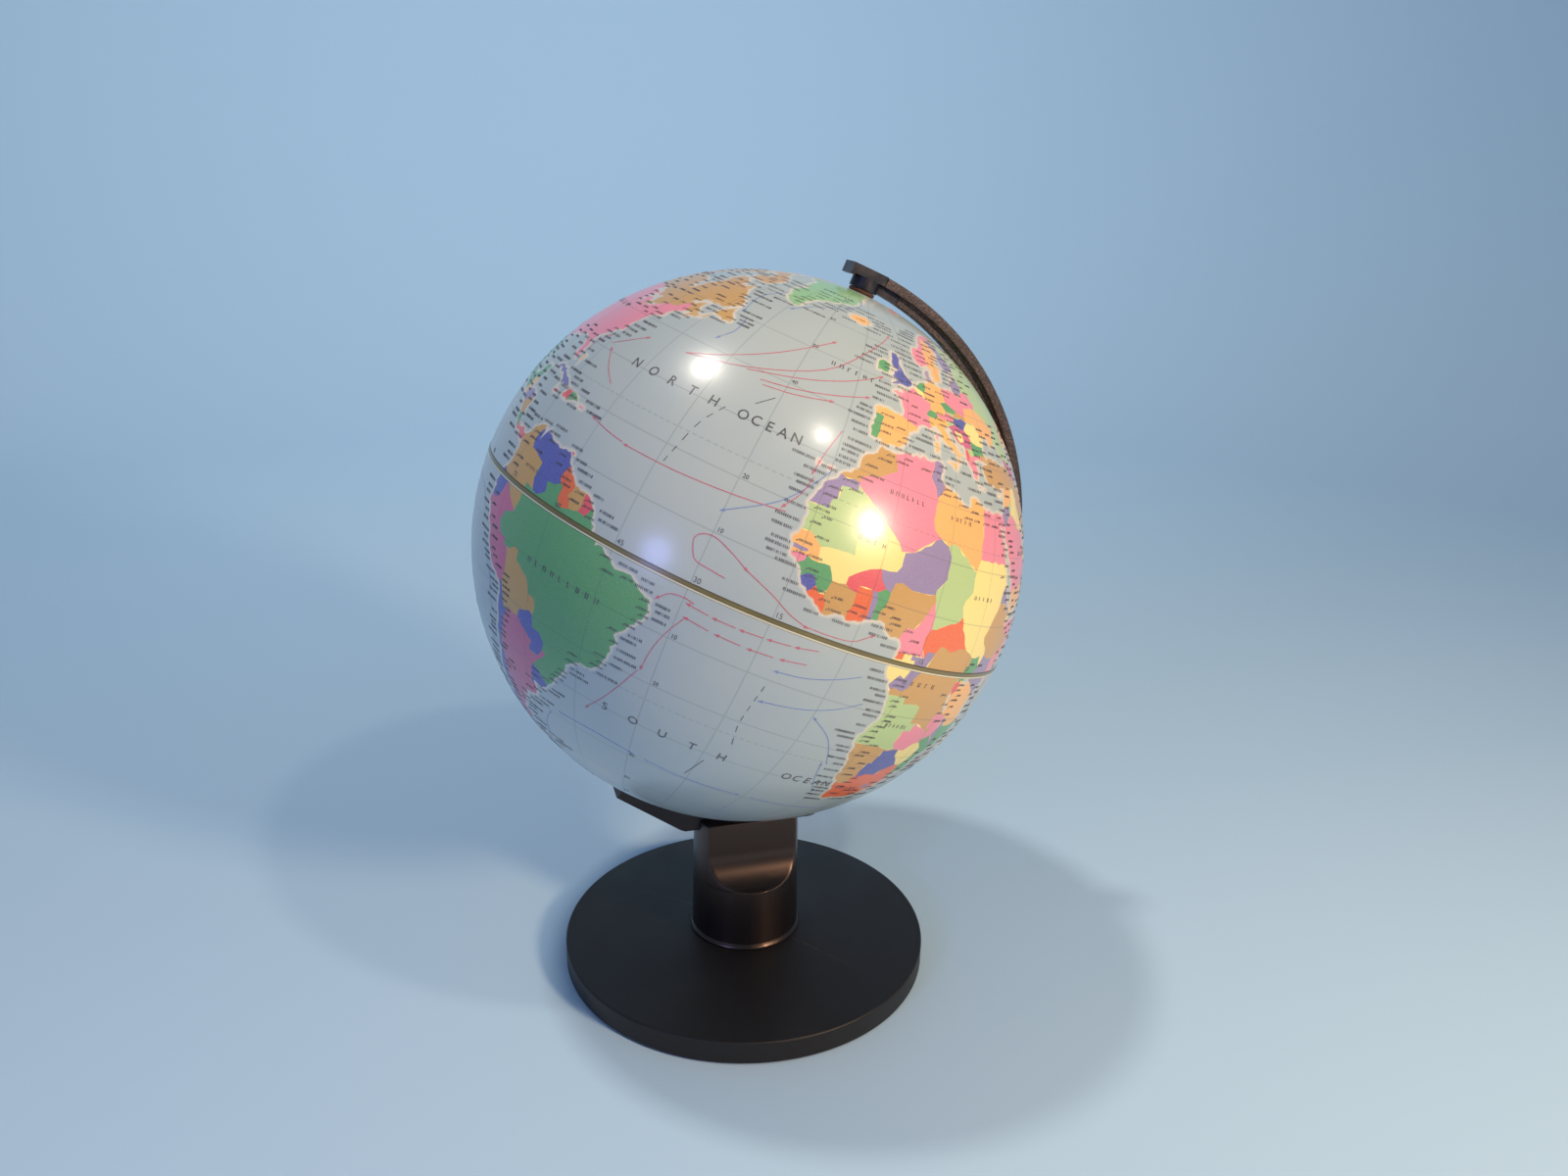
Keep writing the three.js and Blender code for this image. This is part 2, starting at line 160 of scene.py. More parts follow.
# Fine spark-eroded grain of moulded plastic
def makeMouldedGrain():
    tree, given, wanted = startGroup(
        "mouldedGrain",
        [("Size", "Float", 0.5), ("Roughness", "Float", 0.5)],
        [("Height", "Float"), ("Mask", "Float")],
    )
    scale = sums(tree, "DIVIDE", 1000.0, given["Size"])
    place = objectPlace(tree)
    pits = addNode(tree, "ShaderNodeTexVoronoi", {"feature": "SMOOTH_F1"},
                   {"Vector": place, "Scale": scale, "Smoothness": 0.6}).outputs["Distance"]
    fine = noise(tree, place, sums(tree, "MULTIPLY", scale, 2.3), 3.0, given["Roughness"])
    height = sums(tree, "MULTIPLY_ADD", pits, 0.6, sums(tree, "MULTIPLY", fine, 0.4))
    tree.links.new(height, wanted["Height"])
    tree.links.new(stepped(tree, height, 0.35, 0.75), wanted["Mask"])
    return tree


# Slow drift of a colour over a surface, as plastic and ink have
def makeColourDrift():
    tree, given, wanted = startGroup(
        "colourDrift",
        [("Colour", "Color", (0.5, 0.5, 0.5, 1)), ("Other", "Color", (0.4, 0.4, 0.4, 1)),
         ("Patch", "Float", 30.0), ("Amount", "Float", 0.5)],
        [("Colour", "Color"), ("Value", "Float")],
    )
    cloud = noise(tree, objectPlace(tree), sums(tree, "DIVIDE", 1000.0, given["Patch"]), 4.0, 0.55)
    value = stepped(tree, cloud, 0.3, 0.7)
    share = sums(tree, "MULTIPLY", value, given["Amount"])
    tree.links.new(blended(tree, share, given["Colour"], given["Other"]), wanted["Colour"])
    tree.links.new(value, wanted["Value"])
    return tree


# Rubbed edges, broken up so that they don't run evenly
def makeEdgeWear():
    tree, given, wanted = startGroup(
        "edgeWear",
        [("Start", "Float", 0.53), ("End", "Float", 0.62), ("Amount", "Float", 1.0)],
        [("Mask", "Float")],
    )
    point = tree.nodes.new("ShaderNodeNewGeometry").outputs["Pointiness"]
    breaks = noise(tree, objectPlace(tree), 260.0, 3.0)
    edge = stepped(tree, point, given["Start"], given["End"])
    worn = sums(tree, "MULTIPLY", edge, stepped(tree, breaks, 0.35, 0.65))
    tree.links.new(sums(tree, "MULTIPLY", worn, given["Amount"], clamp=True), wanted["Mask"])
    return tree


# Dust that has settled on what faces up
def makeSettledDust():
    tree, given, wanted = startGroup(
        "settledDust",
        [("Amount", "Float", 0.3), ("Speck", "Float", 1.2)],
        [("Mask", "Float")],
    )
    normal = tree.nodes.new("ShaderNodeNewGeometry").outputs["Normal"]
    rise = addNode(tree, "ShaderNodeSeparateXYZ", None, {0: normal}).outputs["Z"]
    upward = stepped(tree, rise, 0.45, 1.0)
    place = objectPlace(tree)
    film = noise(tree, place, 38.0, 5.0, 0.65)
    specks = addNode(tree, "ShaderNodeTexVoronoi", None,
                     {"Vector": place, "Scale": sums(tree, "DIVIDE", 1000.0, given["Speck"])}).outputs[0]
    dots = stepped(tree, specks, 0.09, 0.03)
    both = sums(tree, "MAXIMUM", stepped(tree, film, 0.45, 0.85, 0.0, 0.5), dots)
    tree.links.new(
        sums(tree, "MULTIPLY", sums(tree, "MULTIPLY", upward, both), given["Amount"], clamp=True),
        wanted["Mask"],
    )
    return tree


# Fine straight marks from turning or wiping, along one axis
def makeFineMarks():
    tree, given, wanted = startGroup(
        "fineMarks",
        [("Stretch", "Vector", (1.0, 1.0, 12.0)), ("Scale", "Float", 900.0)],
        [("Mask", "Float")],
    )
    placed = addNode(tree, "ShaderNodeVectorMath", {"operation": "MULTIPLY"},
                     {0: objectPlace(tree), 1: given["Stretch"]}).outputs[0]
    marks = noise(tree, placed, given["Scale"], 3.0)
    tree.links.new(stepped(tree, marks, 0.35, 0.7), wanted["Mask"])
    return tree


mouldedGrain = makeMouldedGrain()
colourDrift = makeColourDrift()
edgeWear = makeEdgeWear()
settledDust = makeSettledDust()
fineMarks = makeFineMarks()


def startMaterial(name):
    material = bpy.data.materials.new(name)
    material.use_nodes = True
    tree = material.node_tree
    return material, tree, tree.nodes["Principled BSDF"]


def drifted(tree, first, second, patch, amount):
    sockets = {"Colour": first, "Other": second, "Patch": patch, "Amount": amount}
    return useGroup(tree, colourDrift, sockets)


def addBump(tree, shader, strength, depth, height):  # depth in millimetres
    sockets = {"Strength": strength, "Distance": depth * mm, "Height": height}
    normal = addNode(tree, "ShaderNodeBump", None, sockets).outputs[0]
    tree.links.new(normal, shader.inputs["Normal"])
    return normal


# Black moulded plastic: grain, rubbed edges, dust and a slow drift from cold to warm black, and where given,
# painted light that lightens the colour towards the top
def mouldedPlastic(name, look):
    material, tree, shader = startMaterial(name)
    grain = useGroup(tree, mouldedGrain, {"Size": look["grain"]})
    drift = drifted(tree, look["colour"], look["other"], look["patch"], 0.8)
    wear = useGroup(tree, edgeWear, {"Amount": look["wear"]})["Mask"]
    dust = useGroup(tree, settledDust, {"Amount": look["dust"]})["Mask"]
    tone = drift["Colour"]
    if "paintedLightColour" in look:  # painted light: the colour turns lighter towards the top, standing in for lamplight on the upper part
        height = addNode(tree, "ShaderNodeSeparateXYZ", None, {0: objectPlace(tree)}).outputs["Z"]
        paintedLight = stepped(tree, height, look["paintedLightFrom"], look["paintedLightTo"])
        tone = blended(tree, paintedLight, tone, look["paintedLightColour"])
    pitted = blended(tree, grain["Mask"], look["other"], tone)
    worn = blended(tree, wear, pitted, look["wornColour"])
    dusty = blended(tree, dust, worn, look["dustColour"])
    rough = sums(tree, "MULTIPLY_ADD", drift["Value"], look["roughSpread"], look["rough"])
    rougher = sums(tree, "MULTIPLY_ADD", dust, 0.3, rough, clamp=True)
    addBump(tree, shader, look["bump"], look["depth"], grain["Height"])
    tree.links.new(dusty, shader.inputs["Base Color"])
    tree.links.new(rougher, shader.inputs["Roughness"])
    shader.inputs["Specular IOR Level"].default_value = look["specular"]
    shader.inputs["Specular Tint"].default_value = look["sheenTint"]
    return material


def turnedMetal(name, look):
    material, tree, shader = startMaterial(name)
    marks = useGroup(tree, fineMarks, {"Stretch": look["stretch"], "Scale": look["scale"]})["Mask"]
    drift = drifted(tree, look["colour"], look["other"], look["patch"], 0.7)
    shade = blended(tree, sums(tree, "MULTIPLY", marks, 0.25), drift["Colour"], look["other"])
    rough = sums(tree, "MULTIPLY_ADD", marks, 0.15, look["rough"])
    addBump(tree, shader, 0.15, 0.05, marks)
    tree.links.new(shade, shader.inputs["Base Color"])
    tree.links.new(rough, shader.inputs["Roughness"])
    shader.inputs["Metallic"].default_value = 1.0
    return material


def fibrous(name, look):  # felt and pressed fibre
    material, tree, shader = startMaterial(name)
    drift = drifted(tree, look["colour"], look["other"], look["patch"], 1.0)
    grain = useGroup(tree, mouldedGrain, {"Size": look["grain"], "Roughness": 0.8})
    tree.links.new(blended(tree, grain["Mask"], drift["Colour"], look["other"]), shader.inputs["Base Color"])
    addBump(tree, shader, look["bump"], 0.2, grain["Height"])
    shader.inputs["Roughness"].default_value = look["rough"]
    shader.inputs["Sheen Weight"].default_value = look["sheen"]
    return material


print("finishes ready")

# Floor, backdrop and lamps

studioSettings = {
    "flatRadius": 1.3,
    "wallRadius": 2.6,
    "wallHeight": 2.4,
    "floorColour": colour(188, 213, 231),
    "worldColour": colour(196, 218, 242),
    "worldStrength": 0.31,
    "lampDistance": 1.15,
}
wallLamp = {"size": 1.4, "power": 12, "tint": (0.86, 0.94, 1.0), "place": (0.1, 0.9, 1.5), "lean": 62}
lamps = {  # way: direction from the globe in the camera's axes (right, up, towards the camera)
    "topLamp": {"way": (-0.21, 0.91, 0.34), "size": 0.10, "power": 4.6, "tint": (1.0, 0.93, 0.82)},
    "highLamp": {"way": (0.456, 0.639, 0.672), "size": 0.07, "power": 2.2, "tint": (1.0, 0.90, 0.76)},
    "warmLamp": {"way": (0.745, 0.109, 0.691), "size": 0.17, "power": 9.5, "tint": (1.0, 0.76, 0.50)},
    "coolPanel": {"way": (-0.572, -0.064, 0.914), "size": 0.22, "power": 2.2, "tint": (0.34, 0.40, 1.0)},
}


def roundPlaces(radius, count):
    turns = [2 * math.pi * k / count for k in range(count)]
    return [(radius * math.cos(t), radius * math.sin(t)) for t in turns]


def layFloor():
    around = 96
    rim = [(0.0, 0.0)]
    rim += [(studioSettings["flatRadius"] * (i + 1) / 4, 0.0) for i in range(4)]
    for i in range(1, 13):
        turn = i / 12 * math.pi / 2
        across = studioSettings["wallRadius"] - studioSettings["flatRadius"]
        rim.append((studioSettings["flatRadius"] + across * math.sin(turn),
                    studioSettings["wallHeight"] * (1 - math.cos(turn))))
    work = bmesh.new()
    rings = []
    for r, z in rim:
        rings.append([work.verts.new((x, y, z)) for x, y in roundPlaces(r, around if r else 1)])
    for low, high in zip(rings, rings[1:]):
        for k in range(around):
            after = (k + 1) % around
            if len(low) == 1:
                work.faces.new((low[0], high[k], high[after]))
            else:
                work.faces.new((low[k], high[k], high[after], low[after]))
    mesh = bpy.data.meshes.new("paleFloor")
    work.to_mesh(mesh)
    work.free()
    mesh.shade_smooth()
    material, _, shader = startMaterial("paleFloor")
    shader.inputs["Base Color"].default_value = studioSettings["floorColour"]
    shader.inputs["Roughness"].default_value = 0.75
    mesh.materials.append(material)
    floor = linked("paleFloor", mesh)


def hangLamp(name, look, place, turn):
    data = bpy.data.lights.new(name, "AREA")
    data.shape, data.size = "DISK", look["size"]
    data.energy, data.color = look["power"], look["tint"]
    lamp = linked(name, data)
    lamp.location, lamp.rotation_euler = place, turn


def hangLamps():
    right, up, back = cameraAxes()
    for name, look in lamps.items():
        x, y, z = look["way"]
        way = (right * x + up * y + back * z).normalized()
        place = globeCentre + way * studioSettings["lampDistance"]
        hangLamp(name, look, place, way.to_track_quat("Z", "Y").to_euler())
    hangLamp("wallLamp", wallLamp, wallLamp["place"], (math.radians(wallLamp["lean"]), 0, 0))


def lightWorld():
    world = bpy.data.worlds.new("paleRoom")
    world.use_nodes = True
    ground = world.node_tree.nodes["Background"]
    ground.inputs["Color"].default_value = studioSettings["worldColour"]
    ground.inputs["Strength"].default_value = studioSettings["worldStrength"]
    scene.world = world


# Making meshes. Lengths in these functions are millimetres

axisTilt = math.radians(23.5)
globeCentre = Vector((0, 0, 217.1)) * mm
tiltFrame = Matrix.Translation(globeCentre) @ Matrix.Rotation(axisTilt, 4, "Y")
upright = Matrix.Identity(4)


def armFrame(angle):  # local Z points outwards from the globe's centre at an angle of the arm
    return Matrix.Translation(globeCentre) @ Matrix.Rotation(math.pi / 2 - angle, 4, "Y")


def weld(mesh):
    work = bmesh.new()
    work.from_mesh(mesh)
    bmesh.ops.remove_doubles(work, verts=work.verts, dist=1e-7)
    bmesh.ops.recalc_face_normals(work, faces=work.faces)
    work.to_mesh(mesh)
    work.free()


def meshOf(points, faces, where, name="shape"):
    mesh = bpy.data.meshes.new(name)
    mesh.from_pydata([where @ (Vector(p) * mm) for p in points], [], faces)
    weld(mesh)
    return mesh


def finishPiece(name, mesh, material, body, replaced=(), smooth=38):
    weld(mesh)
    mesh.shade_smooth()
    mesh.set_sharp_from_angle(angle=math.radians(smooth))
    mesh.materials.clear()
    mesh.materials.append(material)
    piece = linked(name, mesh)
    evened = piece.modifiers.new("evenNormals", "WEIGHTED_NORMAL")
    evened.keep_sharp = True
    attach(piece, body)
    if replaced:
        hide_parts(*replaced)


# A closed profile of (radius, height, rounding) with its corners rounded
def roundedProfile(corners, steps=4):
    points = []
    for i, (r, z, rounding) in enumerate(corners):
        here = Vector((r, z))
        before = Vector(corners[i - 1][:2]) - here
        after = Vector(corners[(i + 1) % len(corners)][:2]) - here
        if rounding <= 0 or before.length < 1e-6 or after.length < 1e-6:
            points.append(here)
            continue
        half = before.angle(after) / 2
        back = min(rounding / math.tan(half), before.length * 0.48, after.length * 0.48)
        start, end = here + before.normalized() * back, here + after.normalized() * back
        for k in range(steps + 1):
            t = k / steps
            points.append(start * (1 - t) ** 2 + here * 2 * t * (1 - t) + end * t ** 2)
    return points


def turnedPoints(profile, segments):
    points, faces, rings = [], [], []
    for r, z in profile:
        if r < 1e-6:
            rings.append([len(points)])
            points.append((0, 0, z))
        else:
            rings.append(list(range(len(points), len(points) + segments)))
            points += [(x, y, z) for x, y in roundPlaces(r, segments)]
    for low, high in zip(rings, rings[1:] + rings[:1]):
        if len(low) == 1 and len(high) == 1:
            continue
        for k in range(segments):
            after = (k + 1) % segments
            if len(low) == 1:
                faces.append((low[0], high[after], high[k]))
            elif len(high) == 1:
                faces.append((low[k], low[after], high[0]))
            else:
                faces.append((low[k], low[after], high[after], high[k]))
    return points, faces


def turnedPiece(name, corners, material, body, replaced=(), where=upright, segments=64, steps=4):
    points, faces = turnedPoints(roundedProfile(corners, steps), segments)
    finishPiece(name, meshOf(points, faces, where, name), material, body, replaced)


def loftFace(row, width, k):  # the face above one point of a row
    after = (k + 1) % width
    return (row * width + k, row * width + after, (row + 1) * width + after, (row + 1) * width + k)


# Joins or cuts shapes and hands back one mesh
def combined(base, others, bevel=0.0):
    host = linked("shape", base)
    helpers = []
    for operation, mesh in others:
        helper = linked("helper", mesh)
        helpers.append(helper)
        step = host.modifiers.new("step", "BOOLEAN")
        step.operation, step.solver, step.object = operation, "EXACT", helper
    if bevel:
        softened = host.modifiers.new("softened", "BEVEL")
        softened.width, softened.segments = bevel * mm, 3
        softened.limit_method, softened.angle_limit = "ANGLE", math.radians(35)
    bpy.context.view_layer.update()
    depsgraph = bpy.context.evaluated_depsgraph_get()
    made = bpy.data.meshes.new_from_object(host.evaluated_get(depsgraph))
    for spare in [host, *helpers]:
        bpy.data.objects.remove(spare)
    return made


def blockMesh(low, high, where):
    xs, ys, zs = zip(low, high)
    corners = [(x, y, z) for x in xs for y in ys for z in zs]
    faces = [(0, 1, 3, 2), (4, 6, 7, 5), (0, 4, 5, 1), (2, 3, 7, 6), (0, 2, 6, 4), (1, 5, 7, 3)]
    return meshOf(corners, faces, where)


def rodMesh(radius, bottom, top, where, segments=48):
    profile = box(0, bottom, radius, top)
    return meshOf(*turnedPoints(profile, segments), where)


def turnedMesh(corners, segments, where):
    return meshOf(*turnedPoints(roundedProfile(corners), segments), where)


# The base: a shallow cone with a rounded rim, a skirt and a hub, closed below by the pad

baseSettings = {
    "radius": 91.3, "rimHeight": 12.1, "crownHeight": 16.0, "edgeRound": 1.2, "skin": 2.4,
    "rimWidth": 5.3, "rimLip": 2.4, "rimAboveFloor": 0.8, "padTop": 1.8, "padHeight": 1.5,
    "hubRadius": 22.9, "hubInner": 20.3, "hubUnderside": 7.4, "hubFloor": 10.0, "boltHole": 2.8,
    "footRing": 28.2,
    "colour": colour(20, 22, 29), "other": colour(19, 17, 18), "wornColour": colour(96, 74, 60),
    "dustColour": colour(92, 98, 108), "patch": 55.0, "grain": 0.45, "depth": 0.05, "bump": 0.5,
    "rough": 0.46, "roughSpread": 0.08, "wear": 0.45, "dust": 0.07, "specular": 0.5,
    "sheenTint": (1.0, 0.86, 0.78, 1),
}


def buildBase():
    b = baseSettings
    crownRun = b["radius"] - b["edgeRound"] - b["footRing"]
    slope = (b["crownHeight"] - b["rimHeight"]) / crownRun
    rimInner = b["radius"] - b["rimWidth"]
    innerTop = b["rimHeight"] + slope * (b["radius"] - b["edgeRound"] - rimInner) - b["skin"]
    corners = [
        (b["boltHole"], b["hubUnderside"], 0.2), (b["hubRadius"], b["hubUnderside"], 0.6),
        (b["hubRadius"], b["crownHeight"] - b["skin"], 1.0), (rimInner, innerTop, 1.0),
        (rimInner, b["padTop"], 0.2), (b["radius"] - b["rimLip"], b["padTop"], 0.2),
        (b["radius"] - b["rimLip"], b["rimAboveFloor"], 0.4), (b["radius"], b["rimAboveFloor"], 0.7),
        (b["radius"], b["rimHeight"] - 0.02, b["edgeRound"]), (b["footRing"], b["crownHeight"], 0.0),
        (b["hubInner"], b["crownHeight"], 0.3), (b["hubInner"], b["hubFloor"], 0.2),
        (b["boltHole"], b["hubFloor"], 0.2),
    ]
    baseMoulding = mouldedPlastic("baseMoulding", b)
    turnedPiece("base_moulding", corners, baseMoulding, "stand", ["base_shell"],
                segments=192, steps=6)
    padFelt = fibrous("padFelt", {"colour": colour(34, 36, 36), "other": colour(20, 21, 22), "patch": 6.0,
                                  "grain": 0.35, "bump": 0.9, "rough": 0.95, "sheen": 0.4})
    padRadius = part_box("base_pad")[1].x / mm
    turnedPiece("base_pad_felt", [(0, 0, 0), (padRadius, 0, 0.3), (padRadius, b["padHeight"], 0.3),
                                  (0, b["padHeight"], 0)],
                padFelt, "stand", ["base_pad"], segments=128)


# The column: a steep cone with a flat on each side that runs out through a concave curve,
# and a slot across its top that holds the arm's foot

columnSettings = {
    "spigotBottom": 10.3, "spigotRadius": 20.0, "foot": 16.3, "footRing": 28.2, "ringHeight": 2.0,
    "footRadius": 26.9, "topRadius": 26.0, "top": 80.0, "topRound": 0.7,
    "flat": 14.0, "scoopRadius": 17.0, "scoopTop": 64.0, "slotHalf": 6.3, "slotFloor": 74.3,
    "edgeBlend": 1.1,
    "colour": colour(21, 19, 22), "other": colour(16, 15, 18), "wornColour": colour(104, 72, 54),
    "dustColour": colour(96, 92, 92), "patch": 30.0, "grain": 0.35, "depth": 0.035, "bump": 0.4,
    "rough": 0.29, "roughSpread": 0.05, "wear": 0.12, "dust": 0.05, "specular": 0.8,
    "sheenTint": (1.0, 0.66, 0.52, 1),
}


def columnRow(height, inset=0.0):
    c = columnSettings
    share = (height - c["foot"]) / (c["top"] - c["foot"])
    radius = c["footRadius"] + (c["topRadius"] - c["footRadius"]) * share
    deep = c["flat"] + c["scoopRadius"]
    drop = c["scoopTop"] - height
    if drop <= 0:
        half = c["flat"]
    elif drop < c["scoopRadius"] - 0.02:
        half = deep - math.sqrt(c["scoopRadius"] ** 2 - drop ** 2)
    else:
        half = deep + 4 * (drop - c["scoopRadius"])
    corner = math.asin(min(half / radius, math.sin(math.radians(86.5))))
    slotTurn = math.asin(c["slotHalf"] / (radius - inset))
    near = [0.0, 0.16, 0.36, 0.62, 1.0, 1.6, 2.6]
    reach = corner - near[-1] / radius
    beside = [slotTurn + (reach - slotTurn) * k / 6 for k in range(1, 6)]
    side = [-t for t in reversed(beside)] + [slotTurn * k / 3 for k in range(-3, 4)] + beside
    cluster = [corner - n / radius for n in reversed(near)]
    arc = [-t for t in reversed(cluster)] + side + cluster
    flatX, flatY = radius * math.cos(corner), radius * math.sin(corner)
    squeeze = min(1.0, 0.6 * flatX / near[-1])
    across = [flatX - n * squeeze for n in near[1:]]
    xs = across + [across[-1] * (1 - k / 5) for k in range(1, 5)]
    xs = xs + [0.0] + [-x for x in reversed(xs)]
    flat = [math.atan2(flatY, x) for x in xs]
    turns = arc + flat + [t + math.pi for t in arc] + [t + math.pi for t in flat]
    row = []
    for t in turns:
        limit = half / max(abs(math.sin(t)), 1e-6)
        blend = max(c["edgeBlend"] - abs(radius - limit), 0) / c["edgeBlend"]
        reachOut = min(radius, limit) - blend * blend * c["edgeBlend"] / 4 - inset
        row.append((reachOut * math.cos(t), reachOut * math.sin(t), height))
    slotFirst = len(cluster) + len(beside)
    return row, slotFirst, slotFirst + 6


def buildColumn():
    c = columnSettings
    footTop = c["foot"] + c["ringHeight"]
    heights = [footTop + 0.4, 24, 32, 40, 45]
    heights += [46.2 + 0.13 * k for k in range(22)]
    heights += [49.2 + 0.5 * k for k in range(30)]
    heights += [64.0, 64.6, 66, 69, 72, c["slotFloor"], 75.5, 77.5, c["top"] - c["topRound"]]
    rows = [columnRow(h) for h in heights]
    for k in range(1, 5):
        turn = k / 4 * math.pi / 2
        rows.append(columnRow(c["top"] - c["topRound"] * (1 - math.sin(turn)),
                              c["topRound"] * (1 - math.cos(turn))))
    first, last = rows[0][1:]
    width = len(rows[0][0])
    half = width // 2
    points = [p for row in rows for p in row[0]]
    slotRow = heights.index(c["slotFloor"])
    faces = []
    for row in range(len(rows) - 1):
        for k in range(width):
            inSlot = any(first + side <= k < last + side for side in (0, half))
            if row >= slotRow and inSlot:
                continue
            faces.append(loftFace(row, width, k))
    floor = [slotRow * width + k for k in range(first, last + 1)]
    floor += [slotRow * width + k + half for k in range(first, last + 1)]
    faces.append(tuple(floor))
    for start, end in ((last, first + half), (last + half, first + width)):
        walls = [row * width + start for row in range(slotRow, len(rows))]
        walls += [row * width + end % width for row in range(len(rows) - 1, slotRow - 1, -1)]
        faces.append(tuple(walls))
        top = [(len(rows) - 1) * width + k % width for k in range(start, end + 1)]
        faces.append(tuple(top))
    # the foot ring and the spigot follow the same turns as the lowest row
    turns = [math.atan2(p[1], p[0]) for p in rows[0][0]]
    lower = [(c["footRadius"] + 0.15, footTop), (c["footRadius"] + 0.5, footTop - 0.15),
             (c["footRing"] - 0.45, footTop - 0.8), (c["footRing"] - 0.1, footTop - 1.2),
             (c["footRing"], c["foot"] + 0.4), (c["footRing"] - 0.2, c["foot"]),
             (c["spigotRadius"], c["foot"]), (c["spigotRadius"], c["spigotBottom"] + 0.6),
             (c["spigotRadius"] - 0.6, c["spigotBottom"])]
    above = 0
    for r, z in lower:
        base = len(points)
        points += [(r * math.cos(t), r * math.sin(t), z) for t in turns]
        for k in range(width):
            after = (k + 1) % width
            faces.append((above + after, above + k, base + k, base + after))
        above = base
    faces.append(tuple(range(above, above + width)))
    columnMoulding = mouldedPlastic("columnMoulding", c)
    mesh = meshOf(points, faces, upright, "column_moulding")
    finishPiece("column_moulding", mesh, columnMoulding, "stand", ["column"], 50)


# The meridian arm: a T section swept round the globe, its outside following the boat-shaped foot

# Bores along a pole's axis and along the head screw's, and the seat under their heads
boreSettings = {
    "pin": 2.3, "pinHead": 3.9, "screw": 1.55, "screwHead": 2.9, "pilot": 1.25,
    "deep": 120, "seat": 134.4, "far": 150, "screwBack": 5.0,
}
armSettings = {
    "webInner": 128.0, "flangeInner": 132.0, "outer": 136.3, "half": 6.0, "webHalf": 3.0,
    "round": 0.8, "tip": -118.67, "end": 63.39, "sole": 74.6, "footHalf": 33.0,
    "tongueRoom": 10.3,
    "southPole": -113.5, "bossRadius": 6.5, "bossBottom": 127.1,
    "colour": colour(25, 23, 27), "other": colour(19, 18, 22), "wornColour": colour(96, 78, 72),
    # painted light: higher up, the arm turns to this lighter brown, standing in for the warm lamp lighting
    # the upper arm
    "paintedLightColour": colour(92, 74, 76), "paintedLightFrom": 0.15, "paintedLightTo": 0.30,
    "dustColour": colour(98, 88, 84), "patch": 14.0, "grain": 0.75, "depth": 0.12, "bump": 0.8,
    "rough": 0.42, "roughSpread": 0.12, "wear": 0.5, "dust": 0.12, "specular": 0.6,
    "sheenTint": (1.0, 0.86, 0.84, 1),
}


def armOuterAt(angle):
    a = armSettings
    tipX = a["outer"] * math.cos(math.radians(a["tip"]))
    tipZ = a["outer"] * math.sin(math.radians(a["tip"]))
    soleZ = a["sole"] - globeCentre.z / mm
    best = a["outer"]
    way = Vector((math.cos(angle), math.sin(angle)))
    outline = [(tipX, tipZ), (-a["footHalf"], soleZ), (a["footHalf"], soleZ), (-tipX, tipZ)]
    for (x0, z0), (x1, z1) in zip(outline, outline[1:]):
        edge = Vector((x1 - x0, z1 - z0))
        across = way.x * edge.y - way.y * edge.x
        if abs(across) < 1e-9:
            continue
        along = (x0 * edge.y - z0 * edge.x) / across
        share = (x0 * way.y - z0 * way.x) / across
        if along > 0 and -1e-6 <= share <= 1 + 1e-6:
            best = max(best, along)
    return best


def armSection(outer):
    a = armSettings
    corners = [
        (a["webInner"], -a["webHalf"], 0.5), (a["webInner"], a["webHalf"], 0.5),
        (a["flangeInner"], a["webHalf"], 0.4), (a["flangeInner"], a["half"], a["round"] * 0.7),
        (outer, a["half"], a["round"]), (outer, -a["half"], a["round"]),
        (a["flangeInner"], -a["half"], a["round"] * 0.7), (a["flangeInner"], -a["webHalf"], 0.4),
    ]
    return roundedProfile(corners, 3)


def sweptArm(start, end, steps, sectionAt):
    points = []
    for k in range(steps + 1):
        angle = start + (end - start) * k / steps
        section = sectionAt(angle)
        points += [(r * math.cos(angle), y, r * math.sin(angle)) for r, y in section]
    width = len(section)
    faces = [loftFace(row, width, k) for row in range(steps) for k in range(width)]
    faces.append(tuple(range(width - 1, -1, -1)))
    faces.append(tuple(range(steps * width, (steps + 1) * width)))
    return points, faces


def screwFrame():
    turn = boreSettings["screwBack"] / armSettings["outer"]
    return armFrame(math.radians(armSettings["end"]) - turn)


def buildArm():
    a, bore = armSettings, boreSettings
    start, end = math.radians(a["tip"]), math.radians(a["end"])
    middle = Matrix.Translation(globeCentre)
    points, faces = sweptArm(start, end, 182, lambda angle: armSection(armOuterAt(angle)))
    southWay = armFrame(math.radians(a["southPole"]))
    bossCorners = [(0, a["bossBottom"], 0), (a["bossRadius"], a["bossBottom"], 0.5),
                   (a["bossRadius"], a["flangeInner"] + 0.6, 0), (0, a["flangeInner"] + 0.6, 0)]
    boss = turnedMesh(bossCorners, 64, southWay)
    # the end past the head is narrowed so that the head's tongue lies in it
    tongueRoom = end - a["tongueRoom"] / a["outer"]
    notch = sweptArm(tongueRoom, end + 0.02, 8, lambda angle: [
        (a["webInner"] - 1, -5), (a["webInner"] - 1, 5), (a["flangeInner"], 5), (a["flangeInner"], -5)])
    cutters = [
        ("UNION", boss),
        ("DIFFERENCE", meshOf(*notch, middle)),
        ("DIFFERENCE", rodMesh(bore["pin"], bore["deep"], bore["far"], southWay)),
        ("DIFFERENCE", rodMesh(bore["pinHead"], bore["seat"], bore["far"], southWay)),
        ("DIFFERENCE", rodMesh(bore["screw"], bore["deep"], bore["far"], screwFrame())),
        ("DIFFERENCE", rodMesh(bore["screwHead"], bore["seat"], bore["far"], screwFrame())),
    ]
    armMesh = combined(meshOf(points, faces, middle), cutters)
    armCasting = mouldedPlastic("armCasting", a)
    finishPiece("arm_moulding", armMesh, armCasting, "stand", ["meridian_arm"], 40)


# The pole head: a smooth cap over the north pole with a boss, a lip and a tongue under the arm

